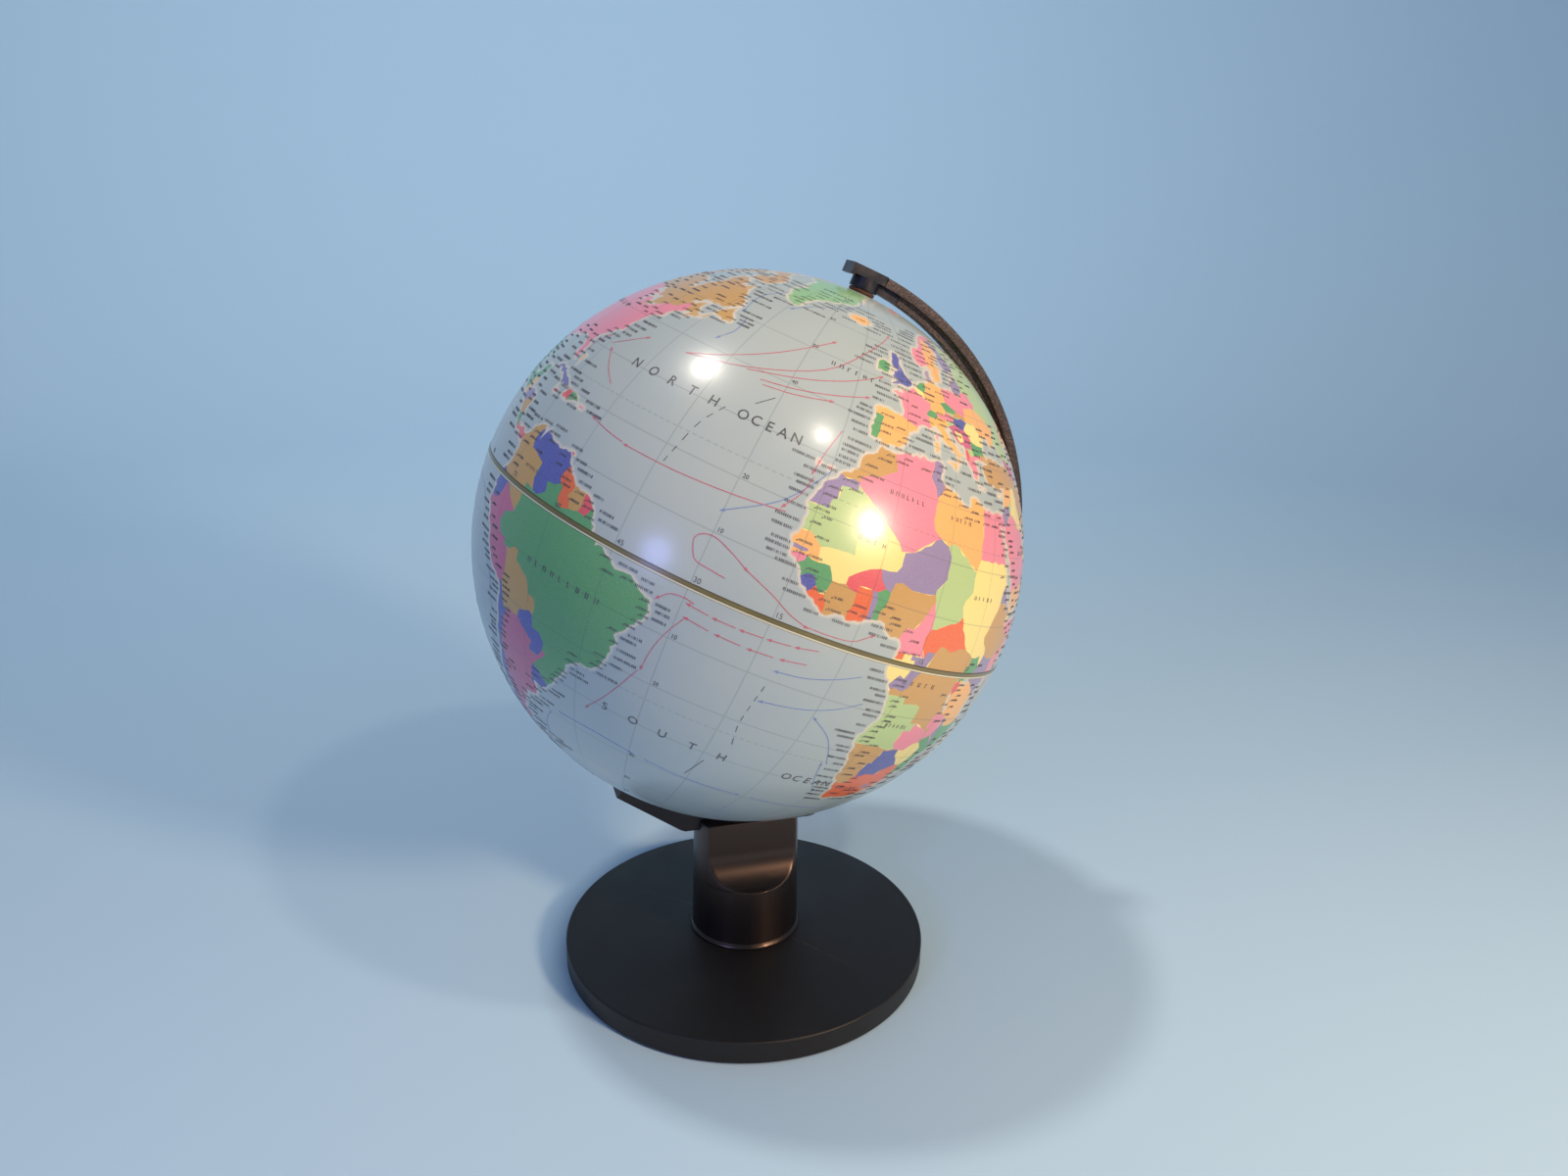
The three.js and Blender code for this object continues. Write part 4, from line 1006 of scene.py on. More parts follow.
# Countries, painted one over the other, each only on its own land mass
countries = {
    "southAmerica": [
        ("rose", """-53.6 -26,-54.6 -27.5,-57.6 -30.2,-58.4 -34,-54 -37,-55 -50,-63 -56,-68.6 -55.2,
-68.6 -52.4,-72 -52,-73.3 -50,-72 -47.5,-71.7 -44.5,-71.8 -40.5,-71 -37,-69.9 -34,-70.2 -31,-69.2 -28,
-68.4 -25,-67 -23,-66.2 -21.8,-64.5 -22.4,-62.7 -22.1,-60 -24,-57.8 -25.2,-58.6 -27.3,-55.8 -27.4,
-54.6 -25.6"""),
        ("blue", """-69.5 -17.5,-68.4 -20,-67.9 -22.8,-67 -23,-68.4 -25,-69.2 -28,-70.2 -31,-69.9 -34,
-71 -37,-71.8 -40.5,-71.7 -44.5,-72 -47.5,-73.3 -50,-72 -52,-68.6 -52.4,-68.6 -55.2,-67 -57,-78 -56,-78 -40,
-73 -18.3"""),
        ("ochre", """-69.5 -11,-68.3 -11,-66.8 -9.9,-65.3 -10,-65.3 -12,-63 -13,-61.5 -13.6,-60.2 -16.3,
-58.4 -16.4,-57.7 -18,-58.2 -19.8,-62.3 -20.5,-62.7 -22.1,-64.5 -22.4,-66.2 -21.8,-67.9 -22.8,-68.7 -20,
-69.4 -17.6,-69 -16.3,-68.8 -14"""),
        ("blue", """-62.3 -20.5,-59.2 -19.3,-58.2 -19.8,-57.9 -22.1,-55.8 -22.3,-54.3 -24.1,-54.6 -25.6,
-55.8 -27.4,-58.6 -27.3,-57.8 -25.2,-60 -24,-62.7 -22.1"""),
        ("blue", "-57.6 -30.2,-55.8 -30.9,-53.4 -33,-53 -36,-58.5 -35.2,-58.3 -33"),
        ("rose", """-80.4 -3.4,-78.6 -4.8,-76.5 -2.7,-75.3 -0.2,-73.2 -2.3,-70.7 -3.8,-70 -4.3,-72.8 -5.2,
-74 -7.5,-72.8 -9.5,-70.6 -9.7,-70.6 -11,-69.5 -11,-68.8 -14,-69 -16.3,-69.4 -17.6,-70.4 -18.5,-75 -19,
-84 -6,-82 -3.4"""),
        ("blue", """-78.9 1.5,-77.5 0.6,-75.3 -0.2,-76.5 -2.7,-78.6 -4.8,-80.4 -4.4,-80.3 -3.4,-83 -2,
-82 1.5"""),
        ("ochre", """-77.9 7.2,-77.4 9,-76 13,-71 13,-71.5 12,-72.8 10.5,-73.2 9.2,-72.4 7.4,-70 7,
-67.5 6.2,-67.8 3,-66.9 1.2,-69.3 1.7,-69.4 -1,-70 -4.3,-70.7 -3.8,-73.2 -2.3,-75.3 -0.2,-77.5 0.6,
-78.9 1.5,-80 3,-79 7"""),
        ("blue", """-71.3 12.3,-72.8 10.5,-73.2 9.2,-72.4 7.4,-70 7,-67.5 6.2,-67.8 3,-66.9 1.2,-65.5 0.8,
-63.4 2.2,-64 4,-62 4.2,-60.7 5,-61.4 6,-60 8.4,-59 10,-66 13,-71 13"""),
        ("brick", """-60 8.8,-61.4 6,-60.7 5,-59.8 4.6,-59.9 2.5,-58.8 1.3,-56.5 1.9,-57.3 3.4,-57.3 5,
-57 6.8,-58 8"""),
        ("ochre", "-57.2 6.8,-57.3 5,-58 4,-57.3 3.4,-56.5 1.9,-54.5 2.4,-54 3.6,-54.4 5,-53.9 6.8"),
        ("red", "-54 6.5,-54.4 5,-54 3.6,-54.5 2.4,-52.6 2.2,-51.6 4.1,-50.8 5.5"),
    ],
    "northAmerica": [
        ("pink", "-141 72,-141 60.3,-137.5 58.9,-135 59.5,-130 56,-130.3 54.5,-135 54,-170 52,-170 70"),
        ("green", """-120 33,-96 33,-96 22,-86 23,-86.5 19,-88.3 18.3,-89.2 17.8,-91 17.8,-91 16,-92.2 14.5,
-93 13.5,-105 15,-120 25"""),
        ("pink", """-123.2 49,-95.2 49,-93 48.6,-89.5 48,-84.8 46.7,-82.5 45.3,-82.6 42,-79 42.8,-76.5 44.2,
-74.8 45,-71.3 45.2,-69.2 47.4,-67.8 47,-67 44.8,-66 43,-70 38,-75 33,-79 24.5,-85 27,-97 25.9,-99.5 27.5,
-101.4 29.8,-103 29,-104.5 29.6,-106.5 31.8,-108.2 31.4,-111 31.4,-114.8 32.6,-117.1 32.5,-128 32,
-128 48.3"""),
        ("orange", """-92.2 13.6,-92.2 14.6,-91 16,-91 17.8,-89.2 17.8,-88.3 18.3,-88 15.9,-89.5 14.2,
-91 13.2"""),
        ("violet", "-89.9 13.4,-89.5 14.4,-88.5 16.2,-83 16.2,-83 15,-86 13.8,-87.5 12.8,-89 13"),
        ("ochre", "-87.9 12.6,-86 13.8,-83 15,-82.5 14,-83 10.9,-85.8 11.1,-88 11.5"),
        ("green", "-86 11.2,-83 10.9,-82.4 9.5,-82.9 8,-85 8.5,-87 10"),
        ("red", "-82.9 8,-82.6 9.8,-77.6 10,-77.2 8.6,-77.6 7,-80 6.5,-82.8 7"),
    ],
    "africa": [
        ("ochre", """-5.5 37,-2 36,-1.8 34,-1.3 32.2,-3.5 31,-5.3 29.9,-8.7 28.8,-8.7 27.7,-14 27.7,-13 30,
-8 35"""),
        ("violet", "-14 27.7,-8.7 27.7,-8.7 26,-12 26,-12 23.5,-13 23,-13.1 21.3,-18 21,-18 25"),
        ("lime", """-8.7 27.3,-4.9 25,-6.5 25,-5.5 15.5,-9.3 15.4,-10.8 15.2,-12 14.8,-13.5 16,-14.5 16.6,
-18 16.3,-18 21.3,-13.1 21.3,-13 23,-12 23.5,-12 26,-8.7 26"""),
        ("pink", """-8.7 28.8,-8.7 27.3,-4.9 25,1.2 21.1,3.3 19,6 19.5,12 23.5,10 24.5,9.3 26.3,9.9 29.8,
8.9 32.3,7.5 33.8,8.3 36,8.3 38,-2.2 37,-1.8 34,-1.3 32.2,-3.5 31,-5.3 29.9"""),
        ("violet", "8.3 38,8.3 36,7.5 33.8,8.9 32.3,9.6 30.3,11.5 32.4,11.6 33.2,12 38"),
        ("orange", """9.6 30.3,9.9 29.8,9.3 26.3,10 24.5,12 23.5,14.2 22.6,16 23.4,24 19.5,24 20,25 22,
25 31.7,25 34,13 34,11.6 33.2,11.5 32.4"""),
        ("pink", "25 22,25 33,34.2 32,34.9 29.5,34.2 27.7,36.9 22"),
        ("yellow", """-4.9 25,1.2 21.1,3.3 19,4.2 19,4.2 16.5,3.5 15.4,0.3 15,-2 14.2,-3 13.6,-4.3 12.7,
-5.3 11.8,-5.3 10.5,-7.9 10.2,-8.4 11.2,-9.2 12.4,-11.4 12.2,-12 14.8,-10.8 15.2,-9.3 15.4,-5.5 15.5,
-6.5 25"""),
        ("violet", """4.2 19,6 19.5,12 23.5,14.2 22.6,15.5 21,15.6 16.9,13.5 14.4,13.6 13.7,10.5 13.3,
7.8 13.2,5.4 13.9,4 13.5,3.6 11.7,2.4 12,1 13.3,0.3 15,3.5 15.4,4.2 16.5"""),
        ("lime", """14.2 22.6,16 23.4,24 19.5,24 15.7,22.3 14,22 12.7,22.9 11,21 9.5,18.9 8.9,16.5 7.7,
15.4 7.6,15.2 10,14.4 11.5,14.2 12.5,13.6 13.7,13.5 14.4,15.6 16.9,15.5 21"""),
        ("violet", "38.6 18.4,37 17,36.5 14.5,38 14.7,40 14.4,42.4 12.5,43.5 13,40.5 16"),
        ("ochre", """36.5 14.5,38 14.7,40 14.4,42.4 12.5,41.8 11,43 9.5,44 8.9,47 8,45 5,42 4.1,39.5 3.5,
38 3.7,35.9 4.6,33 8,34.3 10.6,35 12"""),
        ("pink", """43 12,42.6 10.8,43 9.5,44 8.9,47 8,45 5,42 4.1,41 2.8,41 -0.9,41.6 -1.7,45 -1,52 8,
52 13"""),
        ("violet", """35.9 4.6,38 3.7,39.5 3.5,41.9 4,41 2.8,41 -0.9,41.6 -1.7,41 -5,39 -4.7,37.6 -3,34 -1,
34 0.5,34.9 2"""),
        ("green", "31 3.7,34 4.2,34.9 2,34 0.5,34 -1,29.6 -1.3,29.9 0.8,31.2 2.2"),
        ("orange", """30.5 -1.1,34 -1,37.6 -3,39 -4.7,42 -7,41 -10.5,37.5 -11.6,34.6 -11.5,33.5 -9.5,
31 -8.5,29.5 -6.5,29.4 -4.4,30.8 -3.3"""),
        ("ochre", """2.7 5.5,2.7 7.9,3.6 10,3.6 11.7,4 13.5,5.4 13.9,7.8 13.2,10.5 13.3,13.6 13.7,14.2 12.5,
13.3 10.5,12.3 8.4,11 6.6,9.8 6.8,8.8 5,8.4 4,4 3.5"""),
        ("orange", "-18 16.5,-14.5 16.6,-13.5 16,-12 14.8,-11.4 12.2,-13.7 12.6,-16.8 12.3,-18 12.3"),
        ("violet", "-17.4 13.7,-14 13.7,-13.8 13.3,-17.4 13.1"),
        ("pink", "-17.3 12.4,-13.7 12.6,-13.8 11.7,-15 10.9,-17 11"),
        ("green", """-13.7 12.6,-11.4 12.2,-9.2 12.4,-8.4 11.2,-7.9 10.2,-8.2 8.4,-9.4 7.4,-10.3 8.5,
-11.2 10,-12.6 9.9,-13.3 9,-15 10,-15 10.9,-13.8 11.7"""),
        ("blue", "-13.6 9,-12.6 9.9,-11.2 10,-10.3 8.5,-11.4 6.9,-12.5 6.5,-14 8"),
        ("brick", "-11.6 6.8,-10.3 8.5,-9.4 7.4,-8.4 7.5,-7.5 5.8,-7.5 4,-10 4.5"),
        ("ochre", """-8.2 8.4,-7.9 10.2,-5.3 10.5,-2.8 9.7,-2.6 7.5,-3.2 6.2,-3 4.5,-7.5 4,-7.5 5.8,
-8.4 7.5"""),
        ("red", """-5.3 10.5,-5.3 11.8,-4.3 12.7,-3 13.6,-2 14.2,0.3 15,1 13.3,2.4 12,1 11,-0.1 11.1,
-2.8 11,-2.8 9.7"""),
        ("brick", "-2.8 9.7,-2.8 11,-0.1 11.1,0.4 10,0.6 8,0.6 6.3,1.3 5.5,-3 4.3,-3.2 6.2,-2.6 7.5"),
        ("violet", "-0.1 11.1,1 11,1.6 9,1.7 6.2,1.7 5.5,1.1 5.5,0.6 6.3,0.6 8,0.4 10"),
        ("green", "1 11,2.4 12,3.6 11.7,3.6 10,2.7 7.9,2.7 5.5,1.7 5.5,1.7 6.2,1.6 9"),
        ("pink", """8.4 4,8.8 5,9.8 6.8,11 6.6,12.3 8.4,13.3 10.5,14.2 12.5,14.4 11.5,15.2 10,15.4 7.6,
14.5 6,14.8 4,16.2 2.2,13.3 2.2,9.8 2.2,8 2.5"""),
        ("brick", """15.4 7.6,16.5 7.7,18.9 8.9,21 9.5,22.9 11,24 8.8,25.5 7.5,27.4 5.2,25 5,22.5 4.2,
19.5 5,18.6 3.5,16.6 3.5,16.2 2.2,14.8 4,14.5 6"""),
        ("yellow", """9 1,11.4 1,11.3 2.2,13.3 2.2,13.2 1.3,14.4 1.3,14.5 -0.5,13.8 -2.4,12.5 -1.9,
11.1 -3.9,8 -3,8 0"""),
        ("brick", "9 2.3,11.3 2.3,11.3 1,9 1"),
        ("violet", """13.3 2.2,16.2 2.2,16.6 3.5,18.6 3.5,17.8 0,16.2 -2,15.9 -4,14.5 -4.9,12.8 -4.4,12 -5,
10.8 -4,11.1 -3.9,12.5 -1.9,13.8 -2.4,14.5 -0.5,14.4 1.3,13.2 1.3"""),
        ("ochre", """18.6 3.5,19.5 5,22.5 4.2,25 5,27.4 5.2,29.5 4.5,31 3.7,31.2 2.2,29.9 0.8,29.3 -1.5,
29 -2.7,29.4 -4.4,29.5 -6.5,30.8 -8.4,28.7 -8.6,28.4 -9.3,28.6 -12,29.8 -12.3,29.7 -13.4,27 -12,24 -11,
22.3 -11.2,21.8 -7.3,19.5 -7,17 -7.3,16.6 -6,12.8 -5.9,12 -6,12 -5,12.8 -4.4,14.5 -4.9,15.9 -4,16.2 -2,
17.8 0"""),
        ("red", "29.2 -1.5,30.5 -1.1,30.8 -3.3,29.4 -4.4,29 -2.7"),
        ("lime", """11 -6,12.8 -5.9,16.6 -6,17 -7.3,19.5 -7,21.8 -7.3,22.3 -11.2,24 -11,24 -13,22 -13,
22 -16.2,23.4 -17.6,21 -18,18.5 -17.4,14 -17.4,11.5 -17.3,10 -17"""),
        ("pink", """24 -11,27 -12,29.7 -13.4,29.8 -12.3,28.6 -12,28.4 -9.3,28.7 -8.6,30.8 -8.4,33 -9.5,
33.3 -12.5,32.8 -13.8,30.3 -15,30.4 -15.7,28.9 -16,27 -18,25.3 -17.8,23.4 -17.6,22 -16.2,22 -13,24 -13"""),
        ("green", """34.6 -11.5,37.5 -11.6,41 -10.5,43 -15,36 -21,37 -25,33 -27,32 -26.8,31.9 -25.5,
31.3 -22.4,32.5 -20.6,32.9 -17.5,30.4 -15.7,30.3 -15,32.8 -13.8,34.3 -15.5,35.2 -17,35.8 -15.5,34.6 -14"""),
        ("violet", """33 -9.5,34 -9.6,34.6 -11.5,34.6 -14,35.8 -15.5,35.2 -17,34.3 -15.5,32.8 -13.8,
33.3 -12.5"""),
        ("yellow", """25.3 -17.8,27 -18,28.9 -16,30.4 -15.7,32.9 -17.5,32.5 -20.6,31.3 -22.4,29.4 -22.2,
27.7 -20.6,26 -19.5"""),
        ("ochre", """10 -17,14 -17.4,18.5 -17.4,21 -18,23.4 -17.6,25.2 -17.8,21 -18.3,21 -22,20 -22,
20 -28.4,17.5 -28.8,16.5 -28.6,14 -29"""),
        ("blue", """20 -22,21 -22,21 -18.3,23.4 -17.9,25.3 -17.8,26 -19.5,27.7 -20.6,29.4 -22.2,27 -23.6,
25.6 -25.5,23 -25.3,20.8 -26.8,20 -24.8"""),
        ("brick", """14 -29,16.5 -28.6,17.5 -28.8,20 -28.4,20 -24.8,20.8 -26.8,23 -25.3,25.6 -25.5,27 -23.6,
29.4 -22.2,31.3 -22.4,31.9 -25.5,32 -26.8,33 -27,33 -30,27 -36,17 -36"""),
        ("violet", "27 -29.6,28.5 -28.6,29.4 -29.6,28 -30.6"),
    ],
    "eurasia": [
        ("pink", """4 57.5,8 57.5,11 59,12 60,12.2 61.8,12 63.5,14 64.5,15.5 66.3,18 68.5,20.5 69,25 69,
28 70,29 69.2,31 69.6,32 72,15 71,3 62"""),
        ("orange", """11 59,12 60,12.2 61.8,12 63.5,14 64.5,15.5 66.3,18 68.5,20.5 69,23.7 67.5,24.1 65.8,
22 64,18.5 61,19.5 60,17 56,14 55,12.6 55.4,11 58"""),
        ("violet", """20.5 69,25 69,28 70,29 69,30 67.5,30 64,31.3 62.7,28 60.5,22 59.5,20.5 61.5,21 64,
24.1 65.8,23.7 67.5"""),
        ("orange", """-10 44,-1.8 43.4,0.7 42.8,3.3 42.4,4 41,0 36,-7.4 36,-7.4 37.2,-7 38.5,-7 40,
-6.5 41.8,-8.9 42,-10 42.5"""),
        ("green", "-10 42,-8.9 42,-6.5 41.8,-7 40,-7 38.5,-7.4 37.2,-7.4 36.5,-10 36.5"),
        ("pink", """-6 49,2 51.2,4 50.2,6 49.5,8.1 49,7.6 47.6,6 46.3,7 45.8,6.7 44.5,7.6 43.7,5 42.5,
3.2 42.3,0.7 42.8,-1.8 43.4,-4 44,-6 47.5"""),
        ("yellow", "2.4 51.2,4 51.4,5.9 51,6 49.7,4 50"),
        ("green", "3.4 51.5,4 51.4,5.9 51,7 52.2,7 53.8,4 53.8"),
        ("orange", """7 53.8,7 52.2,6 51,6.2 49.6,8.1 49,7.6 47.6,10 47.4,13 47.6,13.8 48.7,12.2 50.3,
14.8 50.9,14.5 52.5,14.2 54.2,11 54.9,8.5 55"""),
        ("violet", "8 55,11 54.8,11 58,8 58"), ("green", "6 46.3,7.6 47.6,9.6 47.4,10.3 46.6,9 46,7 45.9"),
        ("pink", "9.6 47.4,13 47.6,13.8 48.7,17 48.1,16.2 46.8,13.5 46.6,10.3 46.7"),
        ("orange", """7 45.9,9 46,10.3 46.7,13.5 46.6,13.7 45.5,14 44,19 40.5,17 37.5,12 37,8 40,7.6 43.7,
6.7 44.5"""),
        ("green", "12.2 50.3,14.8 50.9,18.8 49.6,17 48.8,13.8 48.7"),
        ("pink", """14.2 54.5,14.5 52.5,14.8 50.9,18.8 49.6,22.6 49.2,24 51,23.5 53.8,22.8 54.4,19.6 54.6,
18 55.2"""),
        ("ochre", "17 48.1,17 48.8,18.8 49.6,22.6 49.2,22.3 48.2,20.5 48.5"),
        ("blue", "16.2 46.8,17 48,20.5 48.5,22.7 48,21 46.2,18.8 45.8"),
        ("rose", "13.6 45.5,16.4 46.5,18.9 45.9,21.4 46.2,22.7 44.5,22.4 42.4,20 42.3,18.5 42.4,15 43.5"),
        ("yellow", "16 45.2,19 45,19.3 43.4,17.5 43"),
        ("yellow", "20.3 46.1,22.7 48,26.5 48.3,28.2 46.5,29.8 45.3,28.6 43.8,25 43.7,22.7 44.2"),
        ("green", "22.4 44.2,25 43.7,28.7 43.8,28 42,26.4 41.8,23 41.3,22.4 42.4"),
        ("pink", "20 39.6,21 40.8,23 41.3,26.4 41.7,26 40.5,27 36,21 36,19.8 38.5"),
        ("red", "19.3 42.4,20.5 41.9,21 40.8,20 39.6,18.8 40.5"),
        ("orange", """22.6 49.2,24 51.7,31 52.2,34 51.3,40 49.3,38 47,35 45.2,33 44,29.7 45.3,28.2 46.5,
26.5 48.3,22.3 48.2"""),
        ("pink", "23.6 51.6,23.5 53.8,26.6 55.6,30.8 55.6,32.5 53.4,31 52.2"),
        ("violet", "20.5 55,22.8 54.4,26.6 55.6,28 57,27.5 59.6,22 60,20 57.5"),
        ("ochre", """26 42,28 42,36 43,41.5 41.5,44 40,44.6 37.5,42 37,36.5 36.8,36 35.8,30 35.5,26 37,
25.8 40.2"""),
        ("orange", "36 36.8,42 37,41 34.5,38.8 33.4,36 32.6,35 34"),
        ("yellow", """42 37,44.8 37.2,46 35,45.5 33.9,47.8 31,48.6 29.8,46.5 29.1,44.7 29.2,42 31.2,39.2 32,
41 34.5"""),
        ("violet", "34.9 29.4,36 29.2,39.2 32.1,38.8 33.4,35.8 32.8,35 33.2,34 31.5"),
        ("pink", "32 28,32 32,34 31.5,34.9 29.4,34.4 27.5"),
        ("pink", """34.8 29.4,36 29.2,39.2 32,42 31.2,44.7 29.2,46.5 29.1,48.5 28.5,51 26,51.2 24.4,52 23,
55.2 22.7,55.6 22,52 19,48.5 18.2,46.3 17.2,43.3 17.5,42.5 16.5,38 20,34.6 27"""),
        ("orange", "42.5 16.5,43.3 17.5,46.3 17.2,48.5 18.2,52 19,53.5 16.5,52 14,43 12,42 15"),
        ("green", "52 19,55.6 22,55.2 23,56 24.6,60.5 23.5,58 18,53.4 16"),
        ("yellow", "51.5 24,52 23,55.2 22.7,56 24.6,56.5 26.5,54 25"),
        ("ochre", """44 39.7,47.8 39.7,49 38,54 37.4,57 38,61 36.5,60.8 34,61 31.4,63 27.2,61.6 24.8,
56 25.8,50 28.5,48 30,47.8 31,45.5 33.9,46 35,44.8 37.2"""),
        ("rose", """61 36.5,64.5 36.5,68 37.2,71 38.3,74.8 37.4,71.3 34.5,69.5 33.2,66.6 30,61 29.6,61.8 31,
60.8 34"""),
        ("green", """61 29.6,66.6 30,69.5 33.2,71.3 34.5,74.8 37,77 35.5,74.5 32.8,73.5 30,70 28,71 24.5,
68 23.5,66 24,61.6 24.8,63 27.2"""),
        ("orange", """68 23.5,71 24.5,70 28,73.5 30,74.5 32.8,77 35.5,79 33,79 31,81 30.2,80.2 28.8,84 27.4,
88 26.4,88.5 27.8,92 27,97 28.2,95 26,94 23.5,92.5 22,91.5 24,89 25.8,88.8 21.5,84 17,80.5 12,79 7.5,77 7.5,
74 12,71.5 20,67 22"""),
        ("violet", "80.2 28.8,81 30.2,88.2 28,88 26.4,84 27.4"),
        ("green", "88.8 21.5,89 25.8,91.5 24,92.5 21.5"),
        ("yellow", """74.8 37.4,73.7 39.5,80.2 42,80.2 45,85 47,87.5 49,91 46,96 43,104.5 41.8,111 43.5,
113 45,119.5 46.8,116 49.8,120 53.3,125.5 53,130.8 48.5,134.7 48.3,131 44.8,130.6 42.4,124.3 40,122 39,
124 36,123 28,112 21,108 21.5,105.5 23,102 21.5,99 22,97.7 24.5,98.7 27.5,97 28.2,92 27,88.5 27.8,81 30.2,
79 31,79 33,77 35.5"""),
        ("pink", """87.8 49.2,92 50.7,98 50.5,98.5 52,103 50.5,108 49.7,114 50,116.5 49.8,119.5 46.8,113 45,
111 43.5,104.5 41.8,96 43,91 46"""),
        ("orange", """47 48,51 51.5,61 51,61 54,70 55.3,77 54,80 50.8,87.3 49,85 47,80.2 45,80 42.4,70 42.5,
66 43.5,61 44.5,56 45,56 41.3,53 42,50 44.5,47 46"""),
        ("violet", "53 42,56 41.3,61 42,66.5 37.4,61 35.8,57 38,54 37.4,52 39"),
        ("green", "56 45,61 44.5,66 43.5,70 42.3,73 40.5,68 37.8,66.5 37.4,61 42,56 41.3"),
        ("rose", "70 42.5,80.2 42.2,73.7 39.5,74.8 37.4,71 38.3,68 37.2,68 40.3,73 40.5"),
        ("violet", """92.3 21,94 23.5,95 26,97 28.3,98.7 27.5,97.7 24.5,99 22,101.2 21.5,98.5 19.5,98.8 16,
99.5 12,97.5 9.8,94 15.5"""),
        ("yellow", """98.5 19.5,100.3 20.3,102 18,104.8 17.5,105.5 14.4,102.5 13.6,102.3 11.5,100 9,102 6.2,
100 6,97.8 8.5,99.2 12,98.8 16"""),
        ("green", """102.3 22.4,105.5 23.2,108.5 21.5,110 13,107 8,104 9,104.6 10.5,107.5 12.5,107.5 15,
105 18.5,104 20.5"""),
        ("pink", "100.3 20.3,102.3 22.4,104 20.5,105 18.5,107.5 15,106 14,105.5 14.4,104.8 17.5,102 18"),
        ("orange", "102.3 11.5,102.5 13.6,105.5 14.4,107.5 14.3,107.5 12.5,104.6 10.3"),
        ("brick", "99.5 6.5,102.2 6.3,104.5 1,101 2"),
        ("pink", "124.3 40,130.6 42.4,130 40,128.4 38.5,126.5 37.8,124.5 38"),
        ("green", "128.4 38.6,126.5 37.8,125.5 34,130 34.5"),
        ("rose", "40 43.4,46.5 41.8,48.5 41.8,50 40.4,48 38.5,46.5 39,44.5 39.8,43.5 41,41.5 41.5"),
    ],
    "hispaniola": [
        ("red", "-75 18,-74 20.4,-71.8 20.2,-71.8 17.5"),
    ],
    "newGuinea": [
        ("yellow", "141 -2,141 -10,152 -11,148 -4"),
    ],
    "borneo": [
        ("brick", "108 2.2,110 0.9,112 1.4,114.5 2,115.8 4.3,118 4.2,120 5,117 8,112 4.5"),
    ],
}
waters = [
    """27.6 43.2,28.6 45,30.5 46.3,33 46,33.4 44.6,36 45.2,38.6 47,38 45.5,41.5 42,41 41.2,36 41.5,32 42,
29 41.3""",
    "47 45,50 47,53 46.5,51.2 44.5,53 42,52.5 40,54 37,50 37.3,49 40.3,47.5 43",
    "58.5 45,60 46.5,61 44.5,59.5 43.8", "31.8 -0.2,33.8 0.2,34 -1.3,32.8 -2.6,31.8 -2",
    "29.2 -3.5,29.8 -4.5,30.9 -8.3,30.4 -8.2,29.4 -6", "104 51.6,109 53.8,109.8 55.5,107.5 53.6",
    "-92 46.8,-88 48.8,-84.8 46.6,-87.5 46.5",
    "-87.8 42,-87.5 45,-86 45.8,-84.5 45.9,-81 45.8,-82 43.2,-83.4 44.5,-86 44.6,-86.6 42.5",
    "-83.2 41.7,-79 42.8,-76.5 43.5,-79.5 43.4,-82 42.5", "-125 65.5,-119 66.8,-121 65",
    "-117 61.2,-110 62.8,-112 61.5", "-98.8 53.5,-96.5 50.5,-96.9 52.5,-97.8 54",
    "13.5 58.6,14.3 59.2,13.3 59.3", "30.8 60.8,32.8 61,31.5 61.6",
]


def outline(text, rough, step, seed):  # breaks long edges up and makes them wander like a real coast
    corners = [tuple(float(v) for v in pair.split()) for pair in text.split(",")]
    draw = random.Random(seed)
    found = []
    for (x0, y0), (x1, y1) in zip(corners, corners[1:] + corners[:1]):
        squeeze = max(math.cos(math.radians((y0 + y1) / 2)), 0.2)
        length = math.hypot((x1 - x0) * squeeze, y1 - y0)
        pieces = 1 if abs(y0) > 88 or abs(y1) > 88 else max(1, round(length / step))
        found.append((x0, y0))
        for k in range(1, pieces):
            t = k / pieces
            swing = draw.uniform(-1, 1) * rough * min(length, 3.0)
            found.append((x0 + (x1 - x0) * t - (y1 - y0) / length * swing / squeeze,
                          y0 + (y1 - y0) * t + (x1 - x0) * squeeze / length * swing))
    return found


def onGlobe(lon, lat, radius):  # millimetres, in the frame of the upright globe about its own centre
    m = mapSettings
    turn, rise = math.radians(lon + m["spin"]), math.radians(lat)
    return Vector((radius * math.cos(rise) * math.cos(turn), radius * math.cos(rise) * math.sin(turn),
                   radius * math.sin(rise)))


def insideRing(ring, places):  # which places lie within a closed outline
    found = np.zeros(len(places), dtype=bool)
    x, y = places[:, 0], places[:, 1]
    near = (x >= ring[:, 0].min()) & (x <= ring[:, 0].max())
    near &= (y >= ring[:, 1].min()) & (y <= ring[:, 1].max())
    for (x0, y0), (x1, y1) in zip(ring, np.roll(ring, -1, axis=0)):
        if y0 != y1:
            crossed = near & ((y0 > y) != (y1 > y))
            found ^= crossed & (x < x0 + (y - y0) * (x1 - x0) / (y1 - y0))
    return found


# Everything drawn goes into one triangle mesh of the flat map, cut along the gores' edges
def nearTree(placed):  # finds the nearest of the numbered places on the sphere
    tree = kdtree.KDTree(len(placed))
    for number, (x, y) in placed:
        tree.insert(onGlobe(x, y, 1.0), number)
    tree.balance()
    return tree


